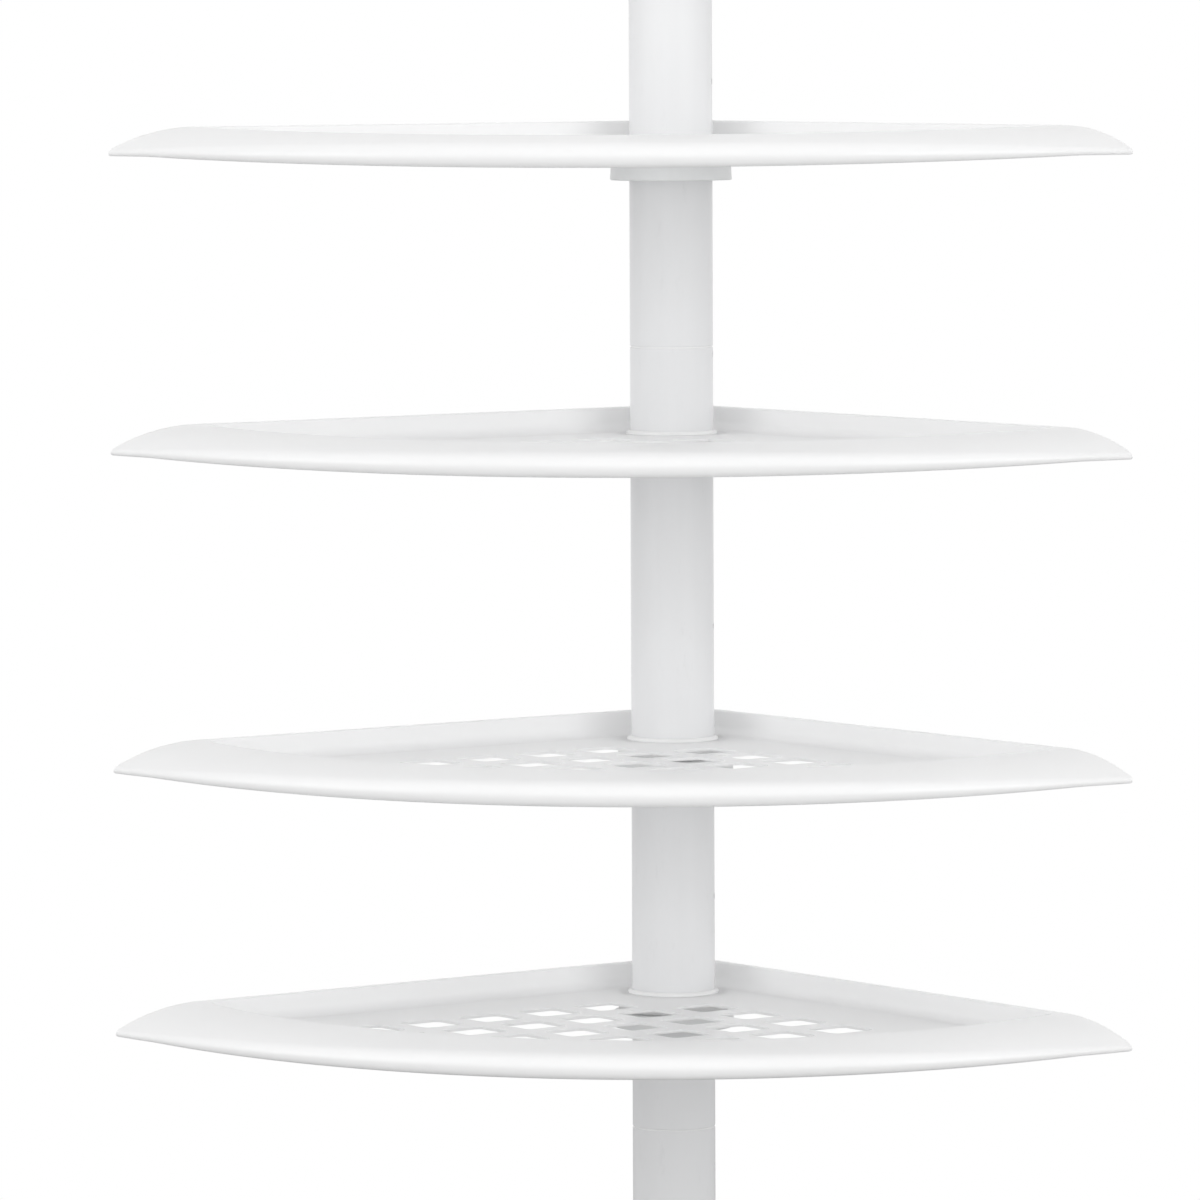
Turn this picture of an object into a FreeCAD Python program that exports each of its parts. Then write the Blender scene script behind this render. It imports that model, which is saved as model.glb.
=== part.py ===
"""Tension pole shelf unit: four quarter-round corner trays on a knock-down pole with a sprung head.

The origin is the centre of the foot pad's bottom face, on the pole's axis. +Z runs up the pole,
the trays' open front faces -Y and their corner lies behind the pole, on the +Y side.
All lengths are in millimetres and all angles in degrees.
"""
import FreeCAD
import Part
import math
import os
import Sketcher

DRIVING_SIZES = {
    # the pole: straight tubes butted over joiners, with pairs of index holes at an even pitch
    "pole_diameter": 31.75,
    "pole_wall": 1.0,
    "section_length": 300.0,
    "seam_gap": 0.6,
    "seam_recess": 0.4,
    "joiner_length": 60.0,
    "joiner_wall": 2.0,
    "plug_clearance": 0.075,
    "index_hole_diameter": 2.4,
    "index_hole_pitch": 104.0,
    "first_index_hole": 64.6,
    # the foot: a rubber pad under a moulded socket
    "foot_pad_diameter": 56.0,
    "foot_pad_height": 4.0,
    "foot_flange_diameter": 52.0,
    "foot_flange_height": 5.0,
    "foot_floor": 6.0,
    "foot_socket_depth": 26.0,
    "foot_socket_wall": 3.0,
    "pad_edge": 1.0,
    # the trays
    "tray_reach": 266.7,
    "corner_setback": 40.0,
    "outer_corner_radius": 10.0,
    "inner_corner_radius": 9.0,
    "wall_height": 9.3,
    "wall_thickness": 2.8,
    "floor_thickness": 1.0,
    "floor_fillet": 4.0,
    "lip_radius": 0.9,
    "rim_width_front": 22.2,
    "rim_width_side": 36.6,
    "rim_land": 3.0,
    "rim_tilt": 1.5,
    "crown_radius": 88.0,
    "nose_radius": 3.4,
    "skirt_depth": 4.1,
    "skirt_wall": 3.0,
    "skirt_run": 62.0,
    # the trays' drain holes: rounded squares on a square lattice along the two walls, whose first
    # node lies in front of the pole
    "drain_pitch": 27.0,
    "drain_lead": 30.0,
    "drain_side": 18.4,
    "drain_corner": 2.2,
    "drain_margin": 30.0,
    # the hub under each tray, the split sleeve that grips the pole and the collar round it
    "hub_diameter": 42.0,
    "hub_depth": 7.0,
    "sleeve_wall": 1.5,
    "sleeve_flare": 0.8,
    "sleeve_rise": 1.4,
    "sleeve_slot": 3.0,
    "collar_diameter": 46.6,
    "collar_height": 6.0,
    "collar_flare": 0.4,
    "running_clearance": 0.05,
    "swivel_clearance": 0.1,
    # each tray's floor above the floor of the tray below it, and the lowest one's above the ground
    "shelf_1_height": 109.8,
    "shelf_2_height": 117.3,
    "shelf_3_height": 97.6,
    "shelf_4_height": 661.5,
    # the extension tube and the clamp that holds it
    "extension_diameter": 25.4,
    "extension_wall": 1.0,
    "extension_length": 300.0,
    "extension_exposed": 70.0,
    "shoe_height": 6.0,
    "shoe_spigot": 16.0,
    "shoe_bore": 16.0,
    "bush_depth": 30.0,
    "bush_flange": 2.0,
    "collet_height": 16.0,
    "collet_wall": 2.5,
    "collet_flare": 1.0,
    "collet_slot": 1.6,
    "lock_ring_diameter": 40.0,
    "lock_ring_skirt": 8.0,
    "lock_ring_top": 3.5,
    "grip_groove_radius": 1.6,
    "loose_clearance": 0.3,
    # the sprung head
    "seat_height": 168.0,
    "seat_thickness": 10.0,
    "seat_pin_diameter": 3.0,
    "seat_pin_inset": 0.2,
    "spring_wire": 2.2,
    "spring_diameter": 19.8,
    "spring_turns": 11,
    "end_bush_depth": 18.0,
    "end_bush_flange": 2.0,
    "stem_diameter": 16.0,
    "stem_flange_diameter": 22.6,
    "stem_flange_height": 4.0,
    "stem_pilot_diameter": 10.0,
    "stem_pilot_length": 20.0,
    "stop_gap": 0.1,
    "head_travel": 22.0,
    "head_gap": 1.5,
    "head_socket_depth": 12.0,
    "head_hub_diameter": 26.0,
    "head_hub_height": 5.0,
    "head_diameter": 52.0,
    "head_height": 18.0,
    "head_rim": 4.0,
    "ceiling_pad_diameter": 56.0,
    "ceiling_pad_height": 4.0,
}

SHELF_COUNT = 4
TUBE_NAMES = ("base_tube", "lower_tube", "middle_tube", "upper_tube")
GRIP_GROOVES = 18
COLLET_SLOT_PAIRS = 2
FULL_TURN = 360
LEG_ANGLE = 45
LATTICE_TURN = 225
SHARP_ANGLE = 12
SURPLUS = 1.0
FINE = 0.001

# Expressions that several pieces share, so that what fits together takes its size from one place.
POLE_RADIUS = "Sizes.pole_diameter / 2"
POLE_BORE = "(Sizes.pole_diameter / 2 - Sizes.pole_wall)"
PLUG_RADIUS = "(Sizes.pole_diameter / 2 - Sizes.pole_wall - Sizes.plug_clearance)"
POLE_FOOT = "Sizes.foot_pad_height + Sizes.foot_floor"
POLE_TOP = f"{POLE_FOOT} + {len(TUBE_NAMES)} * Sizes.section_length - Sizes.seam_gap"

LEG = "sqrt(0.5)"
FRONT_RIM = "(Sizes.tray_reach - Sizes.rim_width_front)"
SIDE_RIM = "(Sizes.tray_reach - Sizes.rim_width_side)"
CREST_SHIFT = (
    f"(({FRONT_RIM} ^ 2 - {SIDE_RIM} ^ 2) / (2 * {FRONT_RIM} - 2 * {LEG} * {SIDE_RIM}))"
)
CREST_RADIUS = f"({FRONT_RIM} - {CREST_SHIFT})"
CREST_CENTRE = f"(Sizes.corner_setback - {CREST_SHIFT})"
RIM_JOINT = f"(Sizes.corner_setback - {LEG} * {SIDE_RIM})"
DRAIN_LEAD = f"({LEG} * Sizes.drain_lead)"
SLEEVE_TOP_RADIUS = f"({POLE_RADIUS} + Sizes.sleeve_wall)"
SLEEVE_FOOT_RADIUS = f"({POLE_RADIUS} + Sizes.sleeve_wall + Sizes.sleeve_flare)"
COLLAR_FOOT = "(Sizes.hub_depth + Sizes.collar_height)"

EXTENSION_RADIUS = "Sizes.extension_diameter / 2"
EXTENSION_PLUG = (
    "(Sizes.extension_diameter / 2 - Sizes.extension_wall - Sizes.running_clearance)"
)
COLLET_TOP = "(Sizes.bush_flange + Sizes.collet_height)"
COLLET_RADIUS = f"({EXTENSION_RADIUS} + Sizes.collet_wall)"
COLLET_TIP_RADIUS = f"({EXTENSION_RADIUS} + Sizes.collet_wall - Sizes.collet_flare)"
LOCK_RING_FOOT = f"{POLE_TOP} - Sizes.lock_ring_skirt"
LOCK_RING_BORE_TOP = f"(Sizes.lock_ring_skirt + {COLLET_TOP} + Sizes.loose_clearance)"
LOCK_RING_HEIGHT = f"({LOCK_RING_BORE_TOP} + Sizes.lock_ring_top)"
EXTENSION_TOP = f"{LOCK_RING_FOOT} + {LOCK_RING_HEIGHT} + Sizes.extension_exposed"
EXTENSION_FOOT = f"{EXTENSION_TOP} - Sizes.extension_length"
SEAT_TOP = f"{EXTENSION_FOOT} + Sizes.seat_height + Sizes.seat_thickness"
PIN_HEIGHT = "Sizes.seat_height + Sizes.seat_thickness / 2"
STEM_FLANGE_TOP = f"{EXTENSION_TOP} - Sizes.end_bush_depth - Sizes.stop_gap"
SPRING_LENGTH = (
    "(Sizes.extension_length - Sizes.end_bush_depth - Sizes.stop_gap - Sizes.stem_flange_height"
    " - Sizes.seat_height - Sizes.seat_thickness)"
)
SPRING_RISE = f"({SPRING_LENGTH} - Sizes.spring_wire - 2 * Sizes.stop_gap)"
STEM_RISE = (
    "(Sizes.stop_gap + Sizes.end_bush_depth + Sizes.end_bush_flange + Sizes.head_travel"
    " + Sizes.head_gap)"
)
HEAD_FOOT = (
    f"{EXTENSION_TOP} + Sizes.end_bush_flange + Sizes.head_travel + Sizes.head_gap"
)

doc = FreeCAD.newDocument("TensionPoleShelfUnit")
sheet = doc.addObject("Spreadsheet::Sheet", "Sizes")


def fill_sheet():
    """Write every driving size into the sheet as plain text, under an alias of its own."""
    for row, (alias, number) in enumerate(DRIVING_SIZES.items(), start=1):
        sheet.set(f"A{row}", alias)
        sheet.set(f"B{row}", str(number))
        sheet.setAlias(f"B{row}", alias)
    doc.recompute()


def value(expression):
    """The number that an expression over the sheet's sizes gives now."""
    return float(sheet.evalExpression(expression))


def new_body(label, height="0"):
    """A body on the pole's axis whose own zero height is bound to an expression."""
    body = doc.addObject("PartDesign::Body", label)
    body.Label = label
    body.setExpression("Placement.Base.z", height)
    return body


def origin_feature(body, role):
    """One of the body's own origin planes or axes."""
    return next(each for each in body.Origin.OriginFeatures if each.Role == role)


def sketch_on(body, role, height="0", turn=0):
    """An empty sketch on an origin plane of the body, lifted and turned about the plane's normal."""
    sketch = body.newObject("Sketcher::SketchObject", "Sketch")
    sketch.AttachmentSupport = (origin_feature(body, role), "")
    sketch.MapMode = "FlatFace"
    turned_by = FreeCAD.Rotation(FreeCAD.Vector(0, 0, 1), turn)
    sketch.AttachmentOffset = FreeCAD.Placement(FreeCAD.Vector(0, 0, 0), turned_by)
    if height != "0":
        sketch.setExpression("AttachmentOffset.Base.z", height)
    return sketch


def bind_point(sketch, edge, end, corner):
    """Hold one end of an edge at a corner's coordinates, each an expression."""
    for kind, axis, expression in zip(("DistanceX", "DistanceY"), (-2, -1), corner):
        if expression == "0":
            sketch.addConstraint(Sketcher.Constraint("PointOnObject", edge, end, axis))
            continue
        number = value(expression)
        index = sketch.addConstraint(Sketcher.Constraint(kind, -1, 1, edge, end, number))
        sketch.setExpression(f"Constraints[{index}]", expression)


def draw_loop(sketch, corners, arcs=None):
    """Draw a closed loop through the corners.

    arcs maps an edge's number to its radius and to the centre beside which it is drawn.
    """
    arcs = arcs or {}
    points = [FreeCAD.Vector(value(x), value(y), 0) for x, y in corners]
    ends = []
    for number, start in enumerate(points):
        finish = points[(number + 1) % len(points)]
        if number not in arcs:
            edge = sketch.addGeometry(Part.LineSegment(start, finish), False)
            ends.append((edge, 1, 2))
            continue
        radius, centre = arcs[number]
        middle = FreeCAD.Vector(value(centre[0]), value(centre[1]), 0)
        first = math.atan2(start.y - middle.y, start.x - middle.x)
        last = math.atan2(finish.y - middle.y, finish.x - middle.x)
        forward = (last - first) % (2 * math.pi) < math.pi
        circle = Part.Circle(middle, FreeCAD.Vector(0, 0, 1), value(radius))
        sweep = (first, last) if forward else (last, first)
        edge = sketch.addGeometry(Part.ArcOfCircle(circle, *sweep), False)
        index = sketch.addConstraint(Sketcher.Constraint("Radius", edge, value(radius)))
        sketch.setExpression(f"Constraints[{index}]", radius)
        ends.append((edge, 1, 2) if forward else (edge, 2, 1))
    for number, (edge, begin, _) in enumerate(ends):
        before, _, stop = ends[number - 1]
        sketch.addConstraint(Sketcher.Constraint("Coincident", before, stop, edge, begin))
        bind_point(sketch, edge, begin, corners[number])


def draw_circle(sketch, radius, centre=("0", "0")):
    """Draw a circle of a bound radius round a bound centre."""
    middle = FreeCAD.Vector(value(centre[0]), value(centre[1]), 0)
    circle = Part.Circle(middle, FreeCAD.Vector(0, 0, 1), value(radius))
    edge = sketch.addGeometry(circle, False)
    index = sketch.addConstraint(Sketcher.Constraint("Radius", edge, value(radius)))
    sketch.setExpression(f"Constraints[{index}]", radius)
    if centre == ("0", "0"):
        sketch.addConstraint(Sketcher.Constraint("Coincident", edge, 3, -1, 1))
    else:
        bind_point(sketch, edge, 3, centre)


def add_feature(body, kind, sketch, **settings):
    """Add a feature on a sketch to the body; settings that are text are bound as expressions."""
    feature = body.newObject(f"PartDesign::{kind}", kind)
    feature.Profile = sketch
    for name, setting in settings.items():
        if isinstance(setting, str) and name in ("Length", "Angle", "Pitch", "Height"):
            feature.setExpression(name, setting)
        else:
            setattr(feature, name, setting)
    sketch.Visibility = False
    return feature


def cut_feature(body, kind, sketch, **settings):
    """Add a feature that removes material, and make sure that it does."""
    doc.recompute()
    before = body.Shape.Volume
    feature = add_feature(body, kind, sketch, **settings)
    doc.recompute()
    if body.Shape.Volume >= before:
        raise RuntimeError(f"{body.Label}: {feature.Name} removes nothing")
    return feature


def repeat_feature(body, kind, feature, **settings):
    """Repeat a feature in a pattern and make the pattern the body's tip."""
    pattern = body.newObject(f"PartDesign::{kind}", kind)
    pattern.Originals = [feature]
    for name, setting in settings.items():
        if isinstance(setting, str) and name in ("Length", "Offset", "Angle"):
            pattern.setExpression(name, setting)
        else:
            setattr(pattern, name, setting)
    body.Tip = pattern
    return pattern


def round_edges(body, radius, wanted):
    """Fillet the edges of the body's shape that the test accepts."""
    doc.recompute()
    tip = body.Tip
    edges = enumerate(tip.Shape.Edges, start=1)
    names = [f"Edge{number}" for number, edge in edges if wanted(edge)]
    fillet = body.newObject("PartDesign::Fillet", "Fillet")
    fillet.Base = (tip, names)
    fillet.setExpression("Radius", radius)
    doc.recompute()
    return fillet


def turned(label, outline, height="0"):
    """A body of its own: a closed outline of (radius, height) revolved about the pole's axis."""
    body = new_body(label, height)
    sketch = sketch_on(body, "XZ_Plane")
    draw_loop(sketch, outline)
    add_feature(body, "Revolution", sketch, ReferenceAxis=(sketch, ["V_Axis"]), Angle=str(FULL_TURN))
    doc.recompute()
    return body


# ---------------------------------------------------------------------------- the pole

def make_tube(label, height, length, outer, bore):
    """A plain tube that stands on its own zero height."""
    body = new_body(label, height)
    sketch = sketch_on(body, "XY_Plane")
    draw_circle(sketch, outer)
    draw_circle(sketch, bore)
    add_feature(body, "Pad", sketch, Length=length)
    return body


def index_holes_in(number):
    """The first and last index hole, counted up the whole pole, that one section has room for."""
    pitch = value("Sizes.index_hole_pitch")
    foot = value(f"{number} * Sizes.section_length - Sizes.first_index_hole")
    room = value("Sizes.section_length - Sizes.seam_gap")
    edge = value("Sizes.index_hole_diameter")
    first = max(0, math.ceil((foot + edge) / pitch))
    last = math.floor((foot + room - edge) / pitch)
    return first, last


def make_pole():
    """The four sections, each with pairs of index holes through its left and right wall."""
    for number, label in enumerate(TUBE_NAMES):
        foot = f"{POLE_FOOT} + {number} * Sizes.section_length"
        length = "Sizes.section_length - Sizes.seam_gap"
        tube = make_tube(label, foot, length, POLE_RADIUS, POLE_BORE)
        first, last = index_holes_in(number)
        if last < first:
            continue
        sketch = sketch_on(tube, "YZ_Plane")
        rise = f"{first} * Sizes.index_hole_pitch - {number} * Sizes.section_length"
        centre = ("0", f"Sizes.first_index_hole + {rise}")
        draw_circle(sketch, "Sizes.index_hole_diameter / 2", centre)
        hole = cut_feature(tube, "Pocket", sketch, SideType="Symmetric", Length="2 * Sizes.pole_diameter")
        repeat_feature(
            tube,
            "LinearPattern",
            hole,
            Direction=(sketch, ["V_Axis"]),
            Mode="Spacing",
            Offset="Sizes.index_hole_pitch",
            Occurrences=last - first + 1,
        )


def make_joiners():
    """A sleeve inside each seam, with a thin rib on which the two tube ends meet."""
    half = "Sizes.joiner_length / 2"
    rib = f"{POLE_RADIUS} - Sizes.seam_recess"
    bore = f"{PLUG_RADIUS} - Sizes.joiner_wall"
    outline = (
        (bore, f"-({half})"),
        (PLUG_RADIUS, f"-({half})"),
        (PLUG_RADIUS, "-Sizes.seam_gap"),
        (rib, "-Sizes.seam_gap"),
        (rib, "0"),
        (PLUG_RADIUS, "0"),
        (PLUG_RADIUS, half),
        (bore, half),
    )
    for seam in range(1, len(TUBE_NAMES)):
        turned(f"joiner_{seam}", outline, f"{POLE_FOOT} + {seam} * Sizes.section_length")


def make_foot():
    """The rubber pad that stands on the floor and the moulded socket that takes the lowest tube."""
    pad_radius = "Sizes.foot_pad_diameter / 2"
    turned(
        "foot_pad",
        (
            ("0", "0"),
            (f"{pad_radius} - Sizes.pad_edge", "0"),
            (pad_radius, "Sizes.pad_edge"),
            (pad_radius, "Sizes.foot_pad_height - Sizes.pad_edge"),
            (f"{pad_radius} - Sizes.pad_edge", "Sizes.foot_pad_height"),
            ("0", "Sizes.foot_pad_height"),
        ),
    )
    bore = f"{POLE_RADIUS} + Sizes.running_clearance"
    socket = f"{bore} + Sizes.foot_socket_wall"
    flange = "Sizes.foot_flange_diameter / 2"
    top = "Sizes.foot_floor + Sizes.foot_socket_depth"
    turned(
        "foot_cap",
        (
            ("0", "0"),
            (flange, "0"),
            (flange, "Sizes.foot_flange_height - Sizes.pad_edge"),
            (f"{flange} - Sizes.pad_edge", "Sizes.foot_flange_height"),
            (f"{socket} + Sizes.pad_edge", "Sizes.foot_flange_height"),
            (socket, "Sizes.foot_flange_height + Sizes.pad_edge"),
            (socket, f"{top} - Sizes.pad_edge"),
            (f"{socket} - Sizes.pad_edge", top),
            (bore, top),
            (bore, "Sizes.foot_floor"),
            ("0", "Sizes.foot_floor"),
        ),
        "Sizes.foot_pad_height",
    )


# ---------------------------------------------------------------------------- the trays

def draw_tray_plan(sketch, inset):
    """The quarter round: two straight legs from the corner and an arc about that corner."""
    corner = f"Sizes.corner_setback - ({inset}) / {LEG}"
    reach = f"(sqrt((Sizes.tray_reach - ({inset})) ^ 2 - ({inset}) ^ 2))"
    across = f"{LEG} * ({reach} - ({inset}))"
    down = f"Sizes.corner_setback - {LEG} * ({reach} + ({inset}))"
    arc = {1: (f"Sizes.tray_reach - ({inset})", ("0", "Sizes.corner_setback"))}
    draw_loop(sketch, (("0", corner), (across, down), (f"-({across})", down)), arc)


def draw_hollow_plan(sketch):
    """The tray's hollow: inside the two walls and behind the crest of the front rim."""
    arc_radius = f"({CREST_RADIUS} - Sizes.rim_land)"
    corner = f"(Sizes.corner_setback - Sizes.wall_thickness / {LEG})"
    lift = f"({corner} - {CREST_CENTRE})"
    across = f"{LEG} * ({LEG} * {lift} + sqrt({arc_radius} ^ 2 - {lift} ^ 2 / 2))"
    down = f"{corner} - {across}"
    arc = {1: (arc_radius, ("0", CREST_CENTRE))}
    draw_loop(sketch, (("0", corner), (across, down), (f"-({across})", down)), arc)


def is_upright(edge):
    """Whether an edge is a straight line along the pole."""
    ends = [each.Point for each in edge.Vertexes]
    if len(ends) != 2 or edge.Curve.TypeId != "Part::GeomLine":
        return False
    return math.hypot(ends[0].x - ends[1].x, ends[0].y - ends[1].y) < FINE


def lies_at(edge, height):
    """Whether a whole edge lies at one height in the body's own frame."""
    return abs(edge.BoundBox.ZMin - height) < FINE and abs(edge.BoundBox.ZMax - height) < FINE


def is_sharp(body, edge):
    """Whether the two faces beside an edge meet at an angle there."""
    faces = body.Tip.Shape.ancestorsOfType(edge, Part.Face)
    if len(faces) != 2:
        return False
    point = edge.valueAt((edge.FirstParameter + edge.LastParameter) / 2)
    normals = [face.normalAt(*face.Surface.parameter(point)) for face in faces]
    return abs(normals[0].dot(normals[1])) < math.cos(math.radians(SHARP_ANGLE))


def cut_underside(body):
    """Hollow the underside to the floor, and cut the skirt's lower edge so that it dips in front."""
    low = f"-(Sizes.skirt_depth + {SURPLUS})"
    hollow = sketch_on(body, "XY_Plane", low)
    draw_tray_plan(hollow, "Sizes.skirt_wall")
    depth = f"Sizes.skirt_depth + {SURPLUS} - Sizes.floor_thickness"
    cut_feature(body, "Pocket", hollow, Reversed=True, Length=depth)
    front = "Sizes.corner_setback - Sizes.tray_reach"
    flat = "-Sizes.floor_thickness"
    sketch = sketch_on(body, "YZ_Plane")
    draw_loop(
        sketch,
        (
            (f"Sizes.corner_setback + {SURPLUS}", flat),
            (f"{front} + Sizes.skirt_run", flat),
            (front, "-Sizes.skirt_depth"),
            (f"{front} - {SURPLUS}", "-Sizes.skirt_depth"),
            (f"{front} - {SURPLUS}", low),
            (f"Sizes.corner_setback + {SURPLUS}", low),
        ),
    )
    cut_feature(body, "Pocket", sketch, SideType="Symmetric", Length="4 * Sizes.tray_reach")


def cut_rim_crown(body):
    """Turn the front rim's convex top about the crest's own, slightly tilted, axis."""
    sketch = sketch_on(body, "YZ_Plane", turn=value("Sizes.rim_tilt"))
    sketch.setExpression("AttachmentOffset.Rotation.Angle", "Sizes.rim_tilt")
    lift = f"({CREST_CENTRE} - {RIM_JOINT}) * tan(Sizes.rim_tilt)"
    sketch.setExpression("AttachmentOffset.Base.x", CREST_CENTRE)
    sketch.setExpression("AttachmentOffset.Base.y", f"Sizes.wall_height + {lift}")
    width = f"(Sizes.rim_width_side + {SURPLUS})"
    drop = f"(Sizes.crown_radius - sqrt(Sizes.crown_radius ^ 2 - {width} ^ 2))"
    outer = f"{CREST_RADIUS} + {width}"
    inner = f"{CREST_RADIUS} - 2 * Sizes.rim_land"
    above = f"Sizes.skirt_depth + {SURPLUS}"
    draw_loop(
        sketch,
        (
            (f"-({CREST_RADIUS})", "0"),
            (f"-({outer})", f"-({drop})"),
            (f"-({outer})", above),
            (f"-({inner})", above),
            (f"-({inner})", "0"),
        ),
        {0: ("Sizes.crown_radius", (f"-({CREST_RADIUS})", "-Sizes.crown_radius"))},
    )
    cut_feature(
        body, "Groove", sketch, ReferenceAxis=(sketch, ["V_Axis"]), Angle=str(FULL_TURN)
    )


def round_rim_nose(body):
    """Round the edge where the rim's crown meets its outer face."""
    reach = value("Sizes.tray_reach")
    setback = value("Sizes.corner_setback")
    flat = -value("Sizes.floor_thickness")

    def wanted(edge):
        points = edge.discretize(5)
        on_face = all(abs(math.hypot(p.x, p.y - setback) - reach) < FINE for p in points)
        return on_face and not is_upright(edge) and points[2].z > flat + FINE

    round_edges(body, "Sizes.nose_radius", wanted)


def cut_hollow(body):
    """Sink the tray's hollow and round its three corners and its floor."""
    sketch = sketch_on(body, "XY_Plane", "Sizes.wall_height")
    draw_hollow_plan(sketch)
    cut_feature(body, "Pocket", sketch, Length="Sizes.wall_height")
    round_edges(
        body,
        "Sizes.inner_corner_radius",
        lambda edge: is_upright(edge) and abs(edge.BoundBox.ZMin) < FINE,
    )
    round_edges(body, "Sizes.floor_fillet", lambda edge: lies_at(edge, 0))


def round_lip(body):
    """Round the top edges of the walls and of the front rim, inside and out."""
    middle = value("Sizes.wall_height / 2")
    round_edges(
        body,
        "Sizes.lip_radius",
        lambda edge: edge.BoundBox.ZMin > middle and is_sharp(body, edge),
    )


def cut_drain_holes(body):
    """Cut the lattice of drain holes, row by row, where it clears the hub and the front rim."""
    pitch = value("Sizes.drain_pitch")
    lead = value(DRAIN_LEAD)
    field = value(f"{CREST_RADIUS} - Sizes.drain_margin")
    clear = value("Sizes.hub_diameter / 2 + Sizes.drain_side")
    side = "Sizes.drain_side / 2"
    flat = "(Sizes.drain_side / 2 - Sizes.drain_corner)"
    for row in range(math.floor((field - lead) / pitch) + 1):
        reach = math.sqrt(field**2 - (lead + row * pitch) ** 2)
        first = 0
        while math.hypot(lead + first * pitch, lead + row * pitch) < clear:
            first += 1
        last = math.floor((reach - lead) / pitch)
        if last < first:
            continue
        along = f"{DRAIN_LEAD} + {first} * Sizes.drain_pitch"
        across = f"{DRAIN_LEAD} + {row} * Sizes.drain_pitch"
        spots = ((1, 1), (-1, 1), (-1, -1), (1, -1))
        corners = []
        arcs = {}
        for number, (right, up) in enumerate(spots):
            near = (f"{along} + {right} * {side}", f"{across} + {up} * {flat}")
            far = (f"{along} + {right} * {flat}", f"{across} + {up} * {side}")
            corners += [near, far] if right == up else [far, near]
            centre = (f"{along} + {right} * {flat}", f"{across} + {up} * {flat}")
            arcs[2 * number] = ("Sizes.drain_corner", centre)
        sketch = sketch_on(body, "XY_Plane", f"{SURPLUS}", LATTICE_TURN)
        draw_loop(sketch, corners, arcs)
        depth = f"Sizes.floor_thickness + 2 * {SURPLUS}"
        hole = cut_feature(body, "Pocket", sketch, Length=depth)
        if last > first:
            repeat_feature(
                body,
                "LinearPattern",
                hole,
                Direction=(sketch, ["H_Axis"]),
                Mode="Spacing",
                Offset="Sizes.drain_pitch",
                Occurrences=last - first + 1,
            )


def make_tray(label, height):
    """One quarter-round tray: walls, crowned front rim, pierced floor and the hub under it."""
    body = new_body(label, height)
    blank = sketch_on(body, "XY_Plane", "-Sizes.skirt_depth")
    draw_tray_plan(blank, "0")
    add_feature(body, "Pad", blank, Length="Sizes.skirt_depth + Sizes.wall_height")
    cut_hollow(body)
    setback = value("Sizes.corner_setback")
    round_edges(
        body,
        "Sizes.outer_corner_radius",
        lambda edge: is_upright(edge) and edge.BoundBox.Center.y > setback - FINE,
    )
    cut_rim_crown(body)
    round_rim_nose(body)
    round_lip(body)
    cut_underside(body)
    hub = sketch_on(body, "XY_Plane", "-Sizes.hub_depth")
    draw_circle(hub, "Sizes.hub_diameter / 2")
    add_feature(body, "Pad", hub, Length="Sizes.hub_depth - Sizes.floor_thickness / 2")
    bore = sketch_on(body, "XY_Plane", "Sizes.wall_height")
    draw_circle(bore, f"{SLEEVE_TOP_RADIUS} + Sizes.swivel_clearance")
    cut_feature(body, "Pocket", bore, Length=f"Sizes.wall_height + Sizes.hub_depth + {SURPLUS}")
    cut_drain_holes(body)
    return body


def make_sleeve(label, height):
    """The split sleeve between pole and tray: straight in the tray's bore, flared in the collar."""
    bore = f"{POLE_RADIUS} + Sizes.running_clearance"
    sleeve = turned(
        label,
        (
            (bore, f"-({COLLAR_FOOT})"),
            (SLEEVE_FOOT_RADIUS, f"-({COLLAR_FOOT})"),
            (SLEEVE_TOP_RADIUS, "-Sizes.hub_depth"),
            (SLEEVE_TOP_RADIUS, "Sizes.sleeve_rise - Sizes.sleeve_wall / 2"),
            (f"{SLEEVE_TOP_RADIUS} - Sizes.sleeve_wall / 2", "Sizes.sleeve_rise"),
            (bore, "Sizes.sleeve_rise"),
        ),
        height,
    )
    sketch = sketch_on(sleeve, "XZ_Plane")
    half = "Sizes.sleeve_slot / 2"
    low = f"-({COLLAR_FOOT} + {SURPLUS})"
    high = f"Sizes.sleeve_rise + {SURPLUS}"
    draw_loop(sketch, ((half, low), (half, high), (f"-({half})", high), (f"-({half})", low)))
    cut_feature(sleeve, "Pocket", sketch, Length="Sizes.pole_diameter")
    return sleeve


def make_collar(label, height):
    """The round collar that wedges on the sleeve and carries the tray's hub."""
    outer = "Sizes.collar_diameter / 2"
    clear = "Sizes.running_clearance"
    return turned(
        label,
        (
            (f"{SLEEVE_FOOT_RADIUS} + {clear}", f"-({COLLAR_FOOT})"),
            (outer, f"-({COLLAR_FOOT})"),
            (f"{outer} - Sizes.collar_flare", "-Sizes.hub_depth"),
            (f"{SLEEVE_TOP_RADIUS} + {clear}", "-Sizes.hub_depth"),
        ),
        height,
    )


def make_copy(original, label, height):
    """A body of its own at another height that takes its shape from the original body."""
    body = doc.addObject("PartDesign::Body", label)
    body.Label = label
    copy = doc.addObject("PartDesign::FeatureBase", "Copy")
    body.Group = [copy]
    copy.BaseFeature = original
    body.Tip = copy
    body.setExpression("Placement.Base.z", height)
    return body


def floor_height(number):
    """The height of a tray's floor: its own rise and those of the trays below it."""
    return " + ".join(f"Sizes.shelf_{below}_height" for below in range(number, SHELF_COUNT + 1))


def make_shelves():
    """Four like trays, each on a collar and a split sleeve of its own."""
    first = floor_height(1)
    originals = {
        "shelf": make_tray("shelf_1", first),
        "grip_sleeve": make_sleeve("grip_sleeve_1", first),
        "collar": make_collar("collar_1", first),
    }
    for number in range(2, SHELF_COUNT + 1):
        for name, original in originals.items():
            make_copy(original, f"{name}_{number}", floor_height(number))


# ---------------------------------------------------------------------------- the extension

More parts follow.
